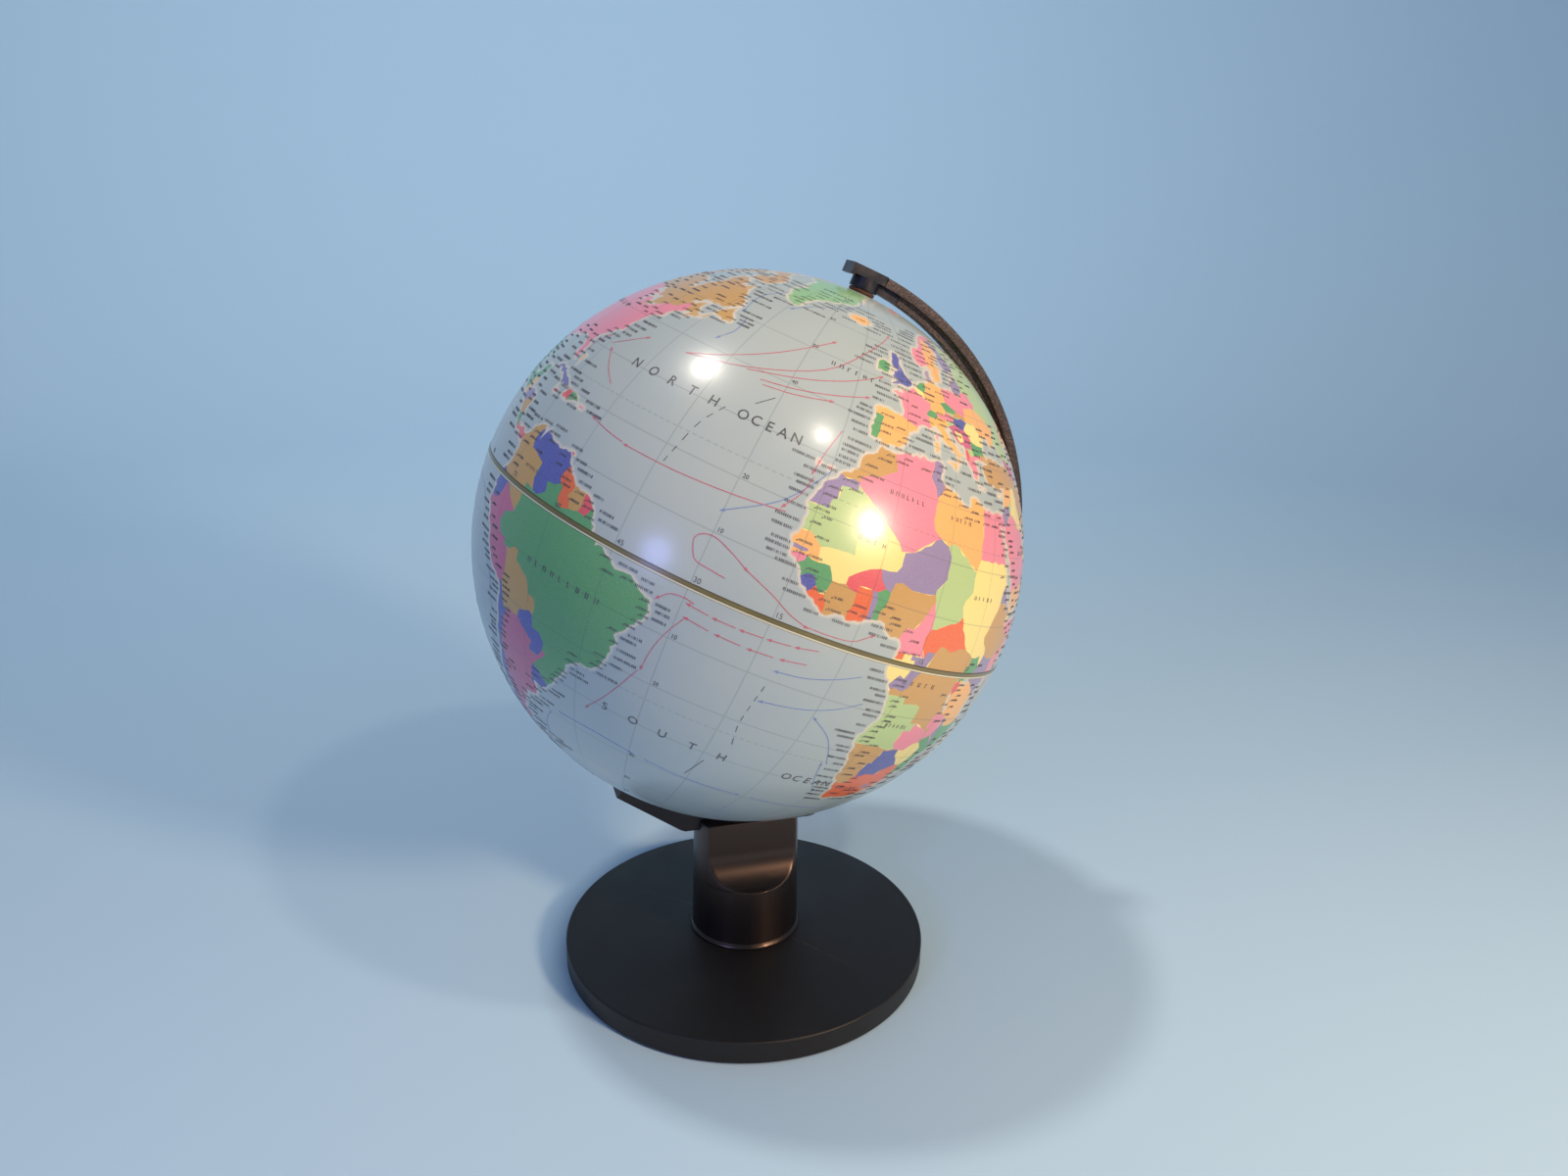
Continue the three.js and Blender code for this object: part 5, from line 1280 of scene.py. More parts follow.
def drawMap():
    m = mapSettings
    points, edges, rings = [], [], []

    def addRing(ring, kind):
        for shift in ([0, -360] if max(x for x, y in ring) > 180 else [0]):
            moved = [(x + shift, y) for x, y in ring]
            start, count = len(points), len(moved)
            points.extend(moved)
            edges.extend((start + k, start + (k + 1) % count) for k in range(count))
            rings.append((np.array(moved), kind))

    def addLine(line):
        start = len(points)
        points.extend(line)
        edges.extend((start + k, start + k + 1) for k in range(len(line) - 1))

    drawn = [(text, ("mass", name, ink)) for name, ink, text in landMasses]
    drawn += [(text, ("mass", "island", ink)) for ink, text in islands]
    drawn += [(text, ("paint", name, ink)) for name, painted in countries.items() for ink, text in painted]
    drawn += [(text, ("water", "", "")) for text in waters]
    coasts = []
    for seed, (text, kind) in enumerate(drawn, 1):
        if kind[0] == "paint":
            addRing(outline(text, m["borderRough"], m["borderStep"], seed), kind)
        else:
            coasts.append(outline(text, m["coastRough"], m["coastStep"], seed))
            addRing(coasts[-1], kind)
    limit, band = m["poleEdge"], m["bandEdge"]
    for k in range(m["gores"] + 1):
        lon = -180 + 360 * k / m["gores"]
        addLine([(lon, lat) for lat in np.linspace(-limit, limit, 71)])
    for lat in (-limit, -band, band, limit):
        count = 48 if abs(lat) > 80 else 144
        addLine([(-180 + 360 * k / count, lat) for k in range(count + 1)])
    coastTree = nearTree(list(enumerate(p for ring in coasts for p in ring)))

    def fromCoast(x, y):
        return math.degrees(coastTree.find(onGlobe(x, y, 1.0))[2])

    for ring in coasts:
        for (x0, y0), (x1, y1) in zip(ring, ring[1:] + ring[:1]):
            squeeze = max(math.cos(math.radians(y0)), 0.15)
            run = Vector(((x1 - x0) * squeeze, y1 - y0))
            if run.length < 1e-6 or abs(y0) > 84:
                continue
            away = Vector((-run.y, run.x)).normalized() * m["haloGap"]
            for side in (1, -1):
                x, y = (x0 + x1) / 2 + side * away.x / squeeze, (y0 + y1) / 2 + side * away.y
                if abs(x) < 179.5 and fromCoast(x, y) > m["haloGap"] * 0.8:
                    points.append((x, y))
    for step, lowest, highest in ((m["gridStep"], 0.0, 60.0), (m["polarStep"], 60.0, 87.0)):
        for row, lat in enumerate(np.arange(lowest + step / 2, highest, step)):
            count = max(12, round(360 * math.cos(math.radians(lat)) / step))
            for k in range(count):
                x = -180 + 360 * (k + 0.25 + 0.5 * (row % 2)) / count
                if abs(x) < 179.8:
                    points += [(x, float(lat)), (x, -float(lat))]
    places, _, triangles, _, _, _ = delaunay_2d_cdt([Vector(p) for p in points], edges, [], 0, 1e-6)
    flat = [(p.x, p.y) for p in places]
    middles = np.array(flat)[np.array(triangles)].mean(axis=1)
    masses, tones = [None] * len(triangles), [None] * len(triangles)
    for ring, (kind, name, tone) in rings:
        for k in np.flatnonzero(insideRing(ring, middles)):
            if kind == "mass":
                masses[k], tones[k] = name, tone
            elif kind == "paint" and masses[k] == name:
                tones[k] = tone
            elif kind == "water":
                tones[k] = None
    groups = {}
    for triangle, (x, y), ink in zip(triangles, middles, tones):
        if abs(x) > 180 or abs(y) > limit or abs(y) < band:
            continue
        key = (min(int((x + 180) / 360 * m["gores"]), m["gores"] - 1), y > 0)
        groups.setdefault(key, []).append((triangle, ink))
    seaside = {}
    for group in groups.values():
        for triangle, ink in group:
            for k in range(3):
                edge = frozenset((triangle[k], triangle[(k + 1) % 3]))
                seaside.setdefault(edge, set()).add(bool(ink))
    shoreline = [edge for edge, sides in seaside.items() if len(sides) == 2]
    samples = []
    for edge in shoreline:
        a, b = (flat[v] for v in edge)
        samples += [((a[0] * (1 - t) + b[0] * t), (a[1] * (1 - t) + b[1] * t)) for t in (0, 0.33, 0.67, 1)]
    shoreTree = nearTree(list(enumerate(samples)))
    shore = [min(math.degrees(shoreTree.find(onGlobe(x, y, 1.0))[2]), m["haloReach"]) for x, y in flat]
    return flat, groups, shore


def buildGores(paint, flat, groups, shore):
    m = mapSettings
    goreWidth = 360 / m["gores"]
    for gore in range(m["gores"]):
        points, faces, tones, shores, ways, places = [], [], [], [], [], []
        for north in (True, False):
            group = groups[(gore, north)]
            numbers = {}
            for triangle, _ in group:
                for v in triangle:
                    numbers.setdefault(v, len(numbers))
            start, count = len(points), len(numbers)
            used = list(numbers)
            outward = [onGlobe(*flat[v], 1.0) for v in used]
            points += [w * m["outer"] for w in outward] + [w * m["inner"] for w in outward]
            ways += outward + [-w for w in outward]
            shores += [shore[v] for v in used] * 2
            column = 0.0 if north else 0.5

            def place(v, strip):
                u = (flat[v][0] + 180 - goreWidth * gore) / goreWidth
                rise = abs(flat[v][1]) / 90
                height = 0.965 + 0.03 * rise if strip else 0.01 + 0.94 * rise
                return (column + 0.008 + 0.484 * min(max(u, 0), 1), height)

            rim = {}
            for triangle, ink in group:
                a, b, c = triangle
                faces.append([start + numbers[v] for v in (a, b, c)])
                places.append([place(v, False) for v in (a, b, c)])
                tones.append(ink)
                faces.append([start + count + numbers[v] for v in (c, b, a)])
                places.append([place(v, True) for v in (c, b, a)])
                tones.append("paper")
                for edge in ((a, b), (b, c), (c, a)):
                    if (edge[1], edge[0]) in rim:
                        del rim[(edge[1], edge[0])]
                    else:
                        rim[edge] = True
            for a, b in rim:
                faces.append([start + numbers[b], start + numbers[a],
                              start + count + numbers[a], start + count + numbers[b]])
                places.append([place(b, False), place(a, False), place(a, True), place(b, True)])
                tones.append("edge")
        mesh = bpy.data.meshes.new(f"map_gore_{gore + 1}")
        mesh.from_pydata([tiltFrame @ (p * mm) for p in points], [], faces)
        tilt = tiltFrame.to_3x3()
        turned = [tilt @ w for w in ways]
        mesh.shade_smooth()
        flatNormals = [p.normal.copy() for p in mesh.polygons]
        normals = []
        for face, tone, own in zip(faces, tones, flatNormals):
            normals += [own if tone == "edge" else turned[v] for v in face]
        mesh.normals_split_custom_set(normals)
        ink = mesh.attributes.new("ink", "FLOAT_COLOR", "CORNER")
        values = []
        for face, tone in zip(faces, tones):
            value = (*colour(*inks[tone])[:3], 1.0) if tone in inks else (0.0, 0.0, 0.0, 0.0)
            values += value * len(face)
        ink.data.foreach_set("color", values)
        near = mesh.attributes.new("shore", "FLOAT", "POINT")
        near.data.foreach_set("value", shores)
        layer = mesh.uv_layers.new(name="OFBake")
        layer.uv.foreach_set("vector", [v for place in places for pair in place for v in pair])
        mesh.materials.append(paint)
        piece = linked(f"map_gore_{gore + 1}", mesh)
        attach(piece, "globe")


# Where a place on the sphere lies between the map's lines: meridians, parallels and the tropics
def makeGraticule():
    tree, given, wanted = startGroup(
        "graticule",
        [("Meridians", "Float", 15.0), ("Parallels", "Float", 10.0), ("Width", "Float", 0.12)],
        [("Lines", "Float"), ("Dashes", "Float"), ("Latitude", "Float"), ("Longitude", "Float")],
    )
    place = addNode(tree, "ShaderNodeVectorMath", {"operation": "SUBTRACT"},
                    {0: objectPlace(tree), 1: tuple(globeCentre)}).outputs[0]
    way = addNode(tree, "ShaderNodeVectorMath", {"operation": "NORMALIZE"}, {0: place}).outputs[0]
    axes = []
    for axis in ((1, 0, 0), (0, 1, 0), (0, 0, 1)):
        leaning = tuple(tiltFrame.to_3x3() @ Vector(axis))
        axes.append(addNode(tree, "ShaderNodeVectorMath", {"operation": "DOT_PRODUCT"},
                            {0: way, 1: leaning}).outputs["Value"])
    rise = sums(tree, "ARCSINE", axes[2])
    lat = sums(tree, "MULTIPLY", rise, 180 / math.pi)
    turn = sums(tree, "ARCTAN2", axes[1], axes[0])
    lon = sums(tree, "SUBTRACT", sums(tree, "MULTIPLY", turn, 180 / math.pi), mapSettings["spin"])
    flatness = sums(tree, "COSINE", rise)
    halfMeridian = sums(tree, "MULTIPLY", given["Meridians"], 0.5)
    halfParallel = sums(tree, "MULTIPLY", given["Parallels"], 0.5)
    fromMeridian = sums(tree, "PINGPONG", sums(tree, "ADD", lon, 720.0), halfMeridian)
    offMeridian = sums(tree, "MULTIPLY", fromMeridian, flatness)
    offParallel = sums(tree, "PINGPONG", sums(tree, "ADD", lat, 360.0), halfParallel)
    wide = sums(tree, "MULTIPLY", given["Width"], 1.5)
    meridian = stepped(tree, offMeridian, wide, sums(tree, "MULTIPLY", given["Width"], 0.5))
    reach = sums(tree, "LESS_THAN", sums(tree, "ABSOLUTE", lat), 80.1)
    parallel = stepped(tree, offParallel, wide, sums(tree, "MULTIPLY", given["Width"], 0.5))
    lines = sums(tree, "MAXIMUM", sums(tree, "MULTIPLY", meridian, reach), parallel)
    flatLat = sums(tree, "ABSOLUTE", lat)
    tropic = sums(tree, "ABSOLUTE", sums(tree, "SUBTRACT", flatLat, 23.5))
    circle = sums(tree, "ABSOLUTE", sums(tree, "SUBTRACT", flatLat, 66.5))
    nearest = sums(tree, "MINIMUM", tropic, circle)
    ring = stepped(tree, nearest, wide, sums(tree, "MULTIPLY", given["Width"], 0.5))
    dash = sums(tree, "GREATER_THAN", sums(tree, "PINGPONG", sums(tree, "ADD", lon, 720.0), 0.75), 0.28)
    tree.links.new(lines, wanted["Lines"])
    tree.links.new(sums(tree, "MULTIPLY", ring, dash), wanted["Dashes"])
    tree.links.new(lat, wanted["Latitude"])
    tree.links.new(lon, wanted["Longitude"])
    return tree


# Fine tooth of printed and varnished paper
def makePaperTooth():
    tree, given, wanted = startGroup(
        "paperTooth", [("Scale", "Float", 1.0)], [("Height", "Float"), ("Mottle", "Float")],
    )
    place = objectPlace(tree)
    slow = noise(tree, place, sums(tree, "MULTIPLY", given["Scale"], 320.0), 2.0)
    fine = noise(tree, place, sums(tree, "MULTIPLY", given["Scale"], 2400.0), 3.0)
    tree.links.new(sums(tree, "MULTIPLY_ADD", fine, 0.25, slow), wanted["Height"])
    tree.links.new(fine, wanted["Mottle"])
    return tree


graticule = makeGraticule()
paperTooth = makePaperTooth()
inkSettings = {
    "sea": colour(182, 189, 184), "deepSea": colour(174, 184, 184), "halo": colour(248, 226, 198),
    "line": colour(96, 104, 104), "paper": colour(238, 232, 214), "lineStrength": 0.3,
    "haloStrength": 0.52, "lineWidth": 0.11,
    "rough": 0.26, "roughSpread": 0.05, "coat": 0.35, "coatRough": 0.16, "bump": 0.035, "specular": 0.45,
}


def varnish(tree, shader, tooth):
    k = inkSettings
    normal = addBump(tree, shader, k["bump"], 0.3, tooth["Height"])
    tree.links.new(normal, shader.inputs["Coat Normal"])
    rough = sums(tree, "MULTIPLY_ADD", tooth["Mottle"], k["roughSpread"], k["rough"])
    tree.links.new(rough, shader.inputs["Roughness"])
    shader.inputs["Coat Weight"].default_value = k["coat"]
    shader.inputs["Coat Roughness"].default_value = k["coatRough"]
    shader.inputs["Specular IOR Level"].default_value = k["specular"]


def mapInk(name, tone):  # one flat ink under the same varnish
    material, tree, shader = startMaterial(name)
    tooth = useGroup(tree, paperTooth)
    share = stepped(tree, tooth["Mottle"], 0.35, 0.75, 0.0, 0.18)
    tree.links.new(blended(tree, share, tone, inkSettings["paper"]), shader.inputs["Base Color"])
    varnish(tree, shader, tooth)
    return material


def mapPaint():
    k = inkSettings
    material, tree, shader = startMaterial("mapPaint")
    ink = addNode(tree, "ShaderNodeAttribute", {"attribute_name": "ink"}).outputs
    shore = addNode(tree, "ShaderNodeAttribute", {"attribute_name": "shore"}).outputs["Fac"]
    tooth = useGroup(tree, paperTooth)
    drift = drifted(tree, k["sea"], k["deepSea"], 60.0, 0.8)
    wander = noise(tree, objectPlace(tree), 300.0, 3.0)
    reach = sums(tree, "MULTIPLY_ADD", sums(tree, "SUBTRACT", wander, 0.5), 0.5, shore)
    halo = stepped(tree, reach, 0.85, 0.1)
    sea = blended(tree, sums(tree, "MULTIPLY", halo, k["haloStrength"]), drift["Colour"], k["halo"])
    lines = useGroup(tree, graticule, {"Width": k["lineWidth"]})
    drawn = sums(tree, "MULTIPLY", sums(tree, "MAXIMUM", lines["Lines"], lines["Dashes"]), k["lineStrength"])
    mottled = blended(tree, stepped(tree, tooth["Mottle"], 0.35, 0.8, 0.0, 0.12), ink["Color"], k["paper"])
    landEdge = stepped(tree, shore, 0.3, 0.05, 0.0, 0.12)
    land = blended(tree, landEdge, mottled, k["halo"])
    both = blended(tree, ink["Alpha"], sea, land)
    tree.links.new(blended(tree, drawn, both, k["line"]), shader.inputs["Base Color"])
    varnish(tree, shader, tooth)
    return material


bandSettings = {"olive": colour(126, 114, 70), "edge": colour(80, 72, 48), "cream": colour(226, 214, 178),
                "low": -0.55, "high": 1.2, "outer": 125.36, "inner": 124.9, "creamLow": -1.2,
                "creamOuter": 125.3}


def buildBand():  # the seam tape round the equator, with its pale lower edge
    b = bandSettings
    material, tree, shader = startMaterial("seamTape")
    tooth = useGroup(tree, paperTooth)
    lat = useGroup(tree, graticule)["Latitude"]
    middle = (b["low"] + b["high"]) / 2 / b["outer"] * 180 / math.pi
    off = sums(tree, "ABSOLUTE", sums(tree, "SUBTRACT", lat, middle))
    edge = stepped(tree, off, 0.22, 0.36, 0.0, 0.75)
    drift = drifted(tree, b["olive"], b["edge"], 24.0, 0.35)
    tree.links.new(blended(tree, edge, drift["Colour"], b["edge"]), shader.inputs["Base Color"])
    varnish(tree, shader, tooth)
    profile = [(b["inner"], b["low"], 0), (b["outer"], b["low"], 0.06),
               (b["outer"], b["high"], 0.06), (b["inner"], b["high"], 0)]
    turnedPiece("seam_tape", profile, material, "globe", ["equator_band"], tiltFrame, 360, 3)
    profile = [(b["inner"], b["creamLow"], 0), (b["creamOuter"], b["creamLow"], 0.05),
               (b["creamOuter"], b["low"], 0), (b["inner"], b["low"], 0)]
    margin = mapInk("marginInk", b["cream"])
    turnedPiece("seam_tape_margin", profile, margin, "globe", (), tiltFrame, 360, 3)


def buildGlobe():
    paint = mapPaint()
    flat, groups, shore = drawMap()
    print("map drawn:", len(flat), "points,", sum(map(len, groups.values())), "triangles")
    buildGores(paint, flat, groups, shore)
    landPoints = {v for group in groups.values() for triangle, ink in group if ink for v in triangle}
    printMarks(flat, shore, landPoints)
    buildBand()


# Small print on the map: current arrows, dashes, dots, greeked names and degree numbers,
# each a thin closed shell just proud of the paper

printSettings = {"sunk": 125.06, "arrows": 125.235, "blueArrows": 125.23, "marks": 125.245, "numbers": 125.25,
                 "arrowWidth": 0.16, "headLength": 0.95, "headWidth": 0.62, "numberHeight": 1.7,
                 "dashWidth": 0.13, "dotRadius": 0.14}
redCurrents = [
    "-25 3.7,-28 4,-30.4 4.3,-31.4 5,-32.5 7.5,-31.6 8.9,-29.3 9.3,-26 8.2,-22.6 6.6",
    "-22.2 6.4,-19 5.2,-16 4,-12.6 2.3,-9.4 1.3", "-9 1.3,-4.5 1.2,0 1.6,3 3.4",
    "-15.2 35.5,-16.2 33,-17.2 30,-18 26.5", "-17.6 25.4,-18.6 22,-20.6 19",
    "-74 31.5,-71 33.2,-68.6 34.6,-66.7 35.7", "-54.7 36.6,-46 40,-36 45.5,-25 53.5",
    "-54.7 36.6,-40 39.5,-24 46,-14 55,-6 62.7", "-40 39,-28 42,-18 45.6,-9 50",
    "-36 38.2,-28 39.4,-20 41.4,-12 44", "-35 37.4,-28 38.2,-20 40",
    "-28.4 -5.2,-30.5 -9.2,-31.8 -13,-32.5 -17.3", "-33 -18.4,-35.6 -23.4,-38.4 -28,-41.5 -31.9",
    "-28 -2.5,-30 -2.2,-32.4 -2.6,-34 -4", "-20 18,-30 17,-41 16.4,-51.7 16.4",
    "-53 16.6,-57 17,-61.5 17.8", "-64 24.6,-68 27,-72 30.2", "-79.4 27.5,-79.2 30,-77.4 32.4",
    "-5 -2,-8.5 -2.6", "-10 -2.8,-13.5 -3.1", "-15 -3.2,-18.5 -3.4", "-20 -3.4,-23.5 -3.4",
    "-25 -3.3,-28.5 -3", "-6 -5,-10 -5.6", "-12 -5.8,-16 -6", "-18 -6,-22 -5.9", "-24 -5.8,-28 -5.4",
    "46 -10,43 -6,44.6 -2", "60 -12,54 -11.4,48 -10.6", "42 -13,41 -17,37.6 -22.6",
    "36.4 -25,34.2 -29,31 -32.6", "90 -12,80 -13,70 -13.4", "150 -24,155 -28,157 -33",
    "127 22,131 28,139 33", "141 34,150 36.4,160 38", "164 38.6,176 40,179 40.4",
    "-176 41,-164 42.6,-152 44", "-150 8,-140 7.6,-130 7.4", "140 6,150 5.6,160 5.6",
    "-130 -6,-142 -6.4,-154 -6.6", "-158 -8,-168 -8.6,-178 -8.6",
]
blueCurrents = [
    "-14.6 27.9,-17.4 24,-22 19,-29.8 14.1", "5 -4,0 -6,-5 -7.4,-10 -8", "8 -9,3 -11.6,-3 -13.4,-10 -14.4",
    "10 -24,6 -18,1 -14.6", "14 -33,10.6 -28.4,9 -24.6", "-58 -50,-56.4 -45,-53.6 -41",
    "-50 -38.6,-40 -38,-30 -38.6", "-26 -39,-14 -39.6,-2 -39.4", "2 -39.4,14 -39.6,26 -40",
    "-78 -44,-76 -37,-75 -30", "-74 -26,-74.6 -20,-79 -13", "-82 -9,-86 -5.6,-94 -4.4",
    "-126 42,-124 36,-121 30", "-118 26,-118 21.4,-124 17", "-52 63,-56 58,-54 52",
    "-50.6 50,-49.6 46,-51.4 43", "-22 76,-20 71.6,-26 67.6", "-30 65.6,-38 62,-43 58.4",
    "104 -34,104 -28,103 -22", "40 -42,56 -43,72 -43", "86 -44,102 -45,118 -45", "160 52,154 46,147 42.6",
    "-160 -48,-144 -49,-128 -49", "-120 -49,-106 -48.6,-92 -47",
]
ridgeDashes = """-39 30.4, -41.6 26, -43 20.3, -44 16; -11 -11.4, -11.6 -16, -11.8 -21, -10.5 -27;
-31 36, -34 33.4; -14 -32, -16 -38"""
# Rows of greeked names: longitude, latitude, characters, then height and step in degrees
longNames = [
    (-62, -10.6, 9, 1.05, 2.15), (-23, 48, 6, 0.95, 2.3), (-105, 57, 6, 1.2, 4.4),
    (-108, 39.6, 6, 1.2, 3.8), (-70, -36, 4, 0.7, 1.3), (-2, 28, 7, 0.8, 1.3), (14, 27.4, 5, 0.8, 1.4),
    (-6, 18.4, 4, 0.8, 1.7), (14, -3.4, 5, 0.9, 2.0), (25, 14.6, 5, 0.8, 1.6), (65, 62, 8, 1.4, 6.4),
    (88, 35, 5, 1.2, 3.6), (74, 22, 5, 1.0, 1.9), (120, -25, 9, 1.3, 3.0), (-46, 72, 9, 1.0, 2.4),
    (45, 24, 6, 0.9, 1.5), (16, -12.6, 6, 0.8, 1.1), (19, -30.8, 6, 0.7, 1.2), (-100, 24, 6, 0.7, 1.3),
    (52, 48, 8, 0.8, 2.0), (98, 46, 8, 0.8, 1.5), (-72, 4, 7, 0.6, 0.8),
]

# The oceans carry a plain word each, one letter at a time: word, first longitude, latitude, height, step
plainWords = [
    ("NORTH", -62.5, 29.6, 2.0, 5.2), ("OCEAN", -35, 29.6, 2.0, 2.9), ("SOUTH", -37.5, -30.4, 1.9, 6.6),
    ("OCEAN", 4.2, -30.4, 1.9, 2.7), ("NORTH", -172, 30, 1.7, 8.4), ("OCEAN", -128, 30, 1.7, 5.4),
    ("SOUTH", -152, -32, 1.7, 7.4), ("OCEAN", -112, -32, 1.7, 4.6), ("OCEAN", 66, -24, 1.7, 5.0),
]


def box(x0, y0, x1, y1):
    return [(x0, y0), (x1, y0), (x1, y1), (x0, y1)]


def greekedRow(lon, lat, count, height, step, draw):  # letter-like bars and gaps that spell nothing
    squeeze = max(math.cos(math.radians(lat)), 0.2)
    found = []
    for k in range(count):
        x, wide = lon + k * step, height * draw.uniform(0.42, 0.62) / squeeze
        thin = 0.17 * height / squeeze
        shape = draw.randrange(4)
        found.append(box(x, lat, x + thin, lat + height))
        if shape in (0, 2):
            found.append(box(x + wide, lat, x + wide + thin, lat + height))
        if shape in (1, 2, 3):
            rise = lat + height * draw.choice((0.0, 0.42, 0.86))
            found.append(box(x + thin, rise, x + wide, rise + 0.14 * height))
    return found


def smallWord(lon, lat, length, height, draw):  # a run of tiny strokes, as small print reads from afar
    squeeze = max(math.cos(math.radians(lat)), 0.2)
    step, thin = 0.68 * height / squeeze, 0.15 * height / squeeze
    found, x = [], lon
    while x < lon + length / squeeze:
        wide = step * draw.uniform(0.5, 0.72)
        shape = draw.randrange(4)
        found.append(box(x, lat, x + thin, lat + height))
        if shape != 1:
            found.append(box(x + wide - thin, lat, x + wide, lat + height))
        rise = lat + height * draw.choice((0.0, 0.4, 0.84))
        found.append(box(x + thin, rise, x + wide - thin, rise + 0.16 * height))
        x += step
    return found


def strip(line, width, head):  # a line of even width with an arrowhead at its end
    found = []
    fine = []
    for (x0, y0), (x1, y1) in zip(line, line[1:]):
        count = max(1, round(math.hypot(x1 - x0, y1 - y0) / 1.2))
        fine += [(x0 + (x1 - x0) * k / count, y0 + (y1 - y0) * k / count) for k in range(count)]
    fine.append(line[-1])
    sides = []
    for k, (x, y) in enumerate(fine):
        squeeze = max(math.cos(math.radians(y)), 0.2)
        before, after = fine[max(k - 1, 0)], fine[min(k + 1, len(fine) - 1)]
        way = Vector(((after[0] - before[0]) * squeeze, after[1] - before[1])).normalized()
        off = Vector((-way.y, way.x)) * width / 2
        sides.append(((x + off.x / squeeze, y + off.y), (x - off.x / squeeze, y - off.y)))
        last = (x, y, squeeze, way)
    for (a, b), (c, d) in zip(sides, sides[1:]):
        found.append([a, b, d, c])
    if head:
        x, y, squeeze, way = last
        tip = way * printSettings["headLength"]
        wing = Vector((-way.y, way.x)) * printSettings["headWidth"] / 2
        found.append([(x + wing.x / squeeze, y + wing.y), (x - wing.x / squeeze, y - wing.y),
                      (x + tip.x / squeeze, y + tip.y)])
    return found


def smoothLine(text):  # a rounded path through the given places
    places = [Vector(tuple(float(v) for v in pair.split())) for pair in text.split(",")]
    if len(places) < 3:
        return [tuple(p) for p in places]
    full = [places[0] * 2 - places[1], *places, places[-1] * 2 - places[-2]]
    found = []
    for a, b, c, d in zip(full, full[1:], full[2:], full[3:]):
        for k in range(4):
            t = k / 4
            found.append(tuple(0.5 * (2 * b + (c - a) * t + (2 * a - 5 * b + 4 * c - d) * t * t
                                      + (3 * b - 3 * c + d - a) * t ** 3)))
    found.append(tuple(places[-1]))
    return found


def facingOut(ring):
    area = sum(a[0] * b[1] - b[0] * a[1] for a, b in zip(ring, ring[1:] + ring[:1]))
    return ring if area > 0 else ring[::-1]


def numberShapes(text, lon, lat, height):  # a number or letter as flat shapes on the map
    curve = bpy.data.curves.new("number", "FONT")
    curve.body, curve.size, curve.align_x = text, 1.0, "CENTER"
    curve.resolution_u = 3
    helper = bpy.data.objects.new("number", curve)
    scene.collection.objects.link(helper)
    bpy.context.view_layer.update()
    mesh = bpy.data.meshes.new_from_object(helper.evaluated_get(bpy.context.evaluated_depsgraph_get()))
    bpy.data.objects.remove(helper)
    squeeze = math.cos(math.radians(lat))
    shapes = []
    for polygon in mesh.polygons:
        places = [mesh.vertices[v].co for v in polygon.vertices]
        ring = [(lon + p.x * height * 1.35 / squeeze, lat + p.y * height * 1.35) for p in places]
        shapes.append(facingOut(ring))
    return shapes


# A closed shell over flat shapes of the map, with true round normals
def printShell(name, shapes, outer, material):
    index, flat, faces = {}, [], []
    for ring in shapes:
        face = []
        for x, y in facingOut(ring):
            key = (round(x, 5), round(y, 5))
            if key not in index:
                index[key] = len(flat)
                flat.append(key)
            if index[key] not in face:
                face.append(index[key])
        if len(face) > 2:
            faces.append(face)
    count, inner = len(flat), printSettings["sunk"]
    ways = [onGlobe(x, y, 1.0) for x, y in flat]
    points = [w * outer for w in ways] + [w * inner for w in ways]
    turned = [tiltFrame.to_3x3() @ w for w in ways]
    turned += [-w for w in turned]
    allFaces, rim = [], {}
    for face in faces:
        allFaces += [face, [count + v for v in reversed(face)]]
        for a, b in zip(face, face[1:] + face[:1]):
            if (b, a) in rim:
                del rim[(b, a)]
            else:
                rim[(a, b)] = True
    flatFrom = len(allFaces)
    allFaces += [[b, a, count + a, count + b] for a, b in rim]
    mesh = bpy.data.meshes.new(name)
    mesh.from_pydata([tiltFrame @ (p * mm) for p in points], [], allFaces)
    mesh.shade_smooth()
    own = [p.normal.copy() for p in mesh.polygons]
    normals = []
    for k, face in enumerate(allFaces):
        normals += [own[k] if k >= flatFrom else turned[v] for v in face]
    mesh.normals_split_custom_set(normals)
    mesh.materials.append(material)
    piece = linked(name, mesh)
    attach(piece, "globe")


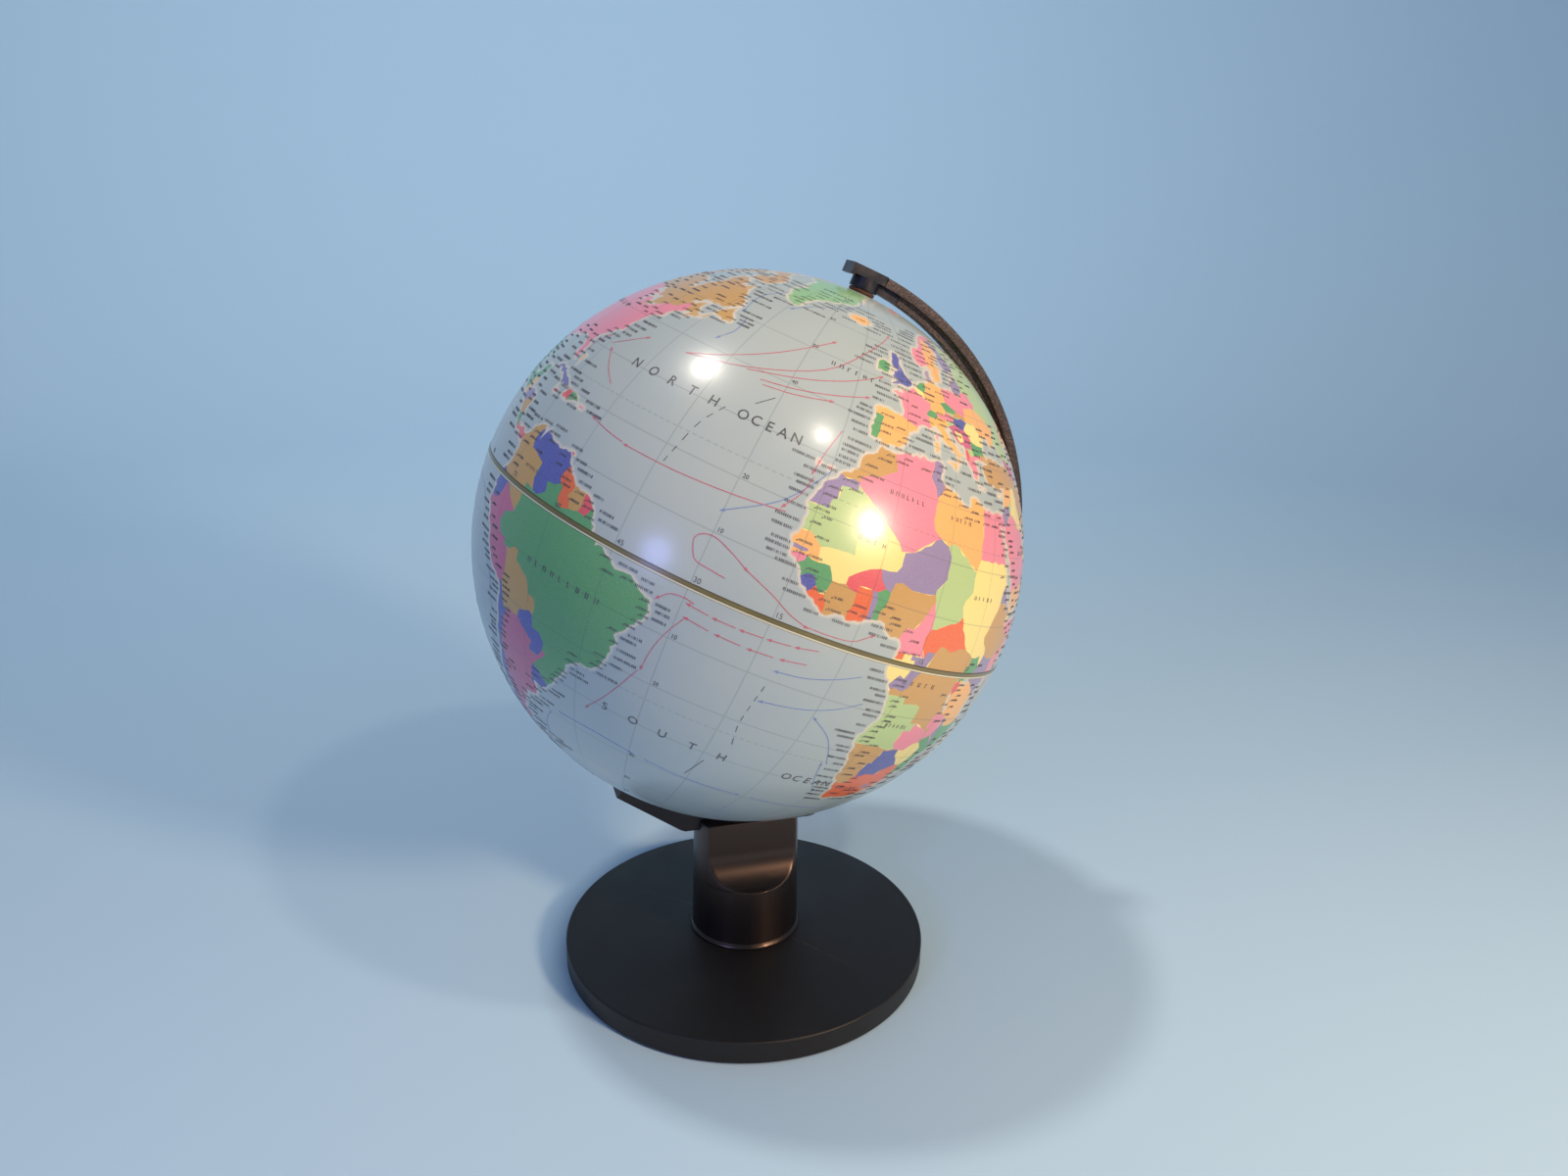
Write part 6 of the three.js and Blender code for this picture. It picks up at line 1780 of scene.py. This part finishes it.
def printMarks(flat, shore, landPoints):
    p = printSettings
    redInk = mapInk("currentRed", colour(196, 92, 112))
    blueInk = mapInk("currentBlue", colour(108, 132, 186))
    darkInk = mapInk("nameInk", colour(70, 66, 74))
    numberInk = mapInk("numberInk", colour(74, 70, 70))
    reds, blues = [], []
    for text in redCurrents:
        reds += strip(smoothLine(text), p["arrowWidth"], True)
    for text in blueCurrents:
        blues += strip(smoothLine(text), p["arrowWidth"], True)
    printShell("warm_current_arrows", reds, p["arrows"], redInk)
    printShell("cold_current_arrows", blues, p["blueArrows"], blueInk)
    draw = random.Random(40)
    marks = []
    for line in ridgeDashes.split(";"):
        path = smoothLine(line)
        for a, b in zip(path[::2], path[1::2]):
            marks += strip([a, b], p["dashWidth"], False)
    for lon, lat, count, height, step in longNames:
        marks += greekedRow(lon, lat, count, height, step, draw)
    for word, lon, lat, height, step in plainWords:
        for k, letter in enumerate(word):
            marks += numberShapes(letter, lon + k * step, lat, height)
    printShell("spaced_names", marks, p["marks"], darkInk)
    numbers = []
    for k in range(1, 12):
        for lon in (-15 * k, 15 * k):
            numbers += numberShapes(str(15 * k), lon + 0.9, 0.95, p["numberHeight"] * 0.62)
    for lat in (10, 20, 30, 40, 50, 60, 70, -10, -20, -30, -40, -50, -60):
        for lon in (-30, 60, 150, -120):
            if lon == -30 and abs(lat) == 30:  # the oceans' names run across here
                continue
            numbers += numberShapes(str(abs(lat)), lon + 1.0, lat + 0.3, p["numberHeight"] * 0.5)
    printShell("degree_numbers", numbers, p["numbers"], numberInk)
    # rows of tiny greeked names beside the coasts and inland, and a dot for each town
    words = {"western_coast_names": [], "eastern_coast_names": [], "inland_names": []}
    dots, taken = [], []
    landTree = nearTree([(v, flat[v]) for v in landPoints])
    order = list(range(len(flat)))
    draw.shuffle(order)
    for v in order:
        x, y = flat[v]
        inland = v in landPoints
        if abs(y) > 70 or abs(x) > 170 or not 0.5 < shore[v] < (2.9 if inland else 1.4) or abs(y) < 1.9:
            continue
        squeeze = math.cos(math.radians(y))
        length = draw.uniform(1.4, 2.6) if inland else draw.uniform(2.2, 4.6)
        westward = not inland and flat[landTree.find(onGlobe(x, y, 1.0))[1]][0] > x
        start = x - length / squeeze if westward else x
        middle = start + length / squeeze / 2
        crowded = (abs(middle - a) * squeeze < length / 2 + reach + 0.5 and abs(y - b) < 1.0
                   for a, b, reach in taken)
        if any(crowded):
            continue
        taken.append((middle, y, length / 2))
        kind = "inland_names" if inland else "western_coast_names" if x < 0 else "eastern_coast_names"
        words[kind] += smallWord(start + 0.25, y, length, 0.42 if inland else 0.52, draw)
        if inland:
            dots.append([(x + east, y + north) for east, north in roundPlaces(p["dotRadius"], 8)])
    for name, strokes in words.items():
        printShell(name, strokes, p["marks"], darkInk)
    printShell("town_dots", dots, p["numbers"], darkInk)
    strokes = sum(map(len, words.values()))
    print("map printed:", len(reds) + len(blues), "arrow pieces,", strokes, "small strokes")


layFloor()
lightWorld()
hangLamps()
print("studio ready")
buildBase()
buildColumn()
buildArm()
buildHead()
buildHardware()
print("stand built")
buildGlobe()
print("globe built")
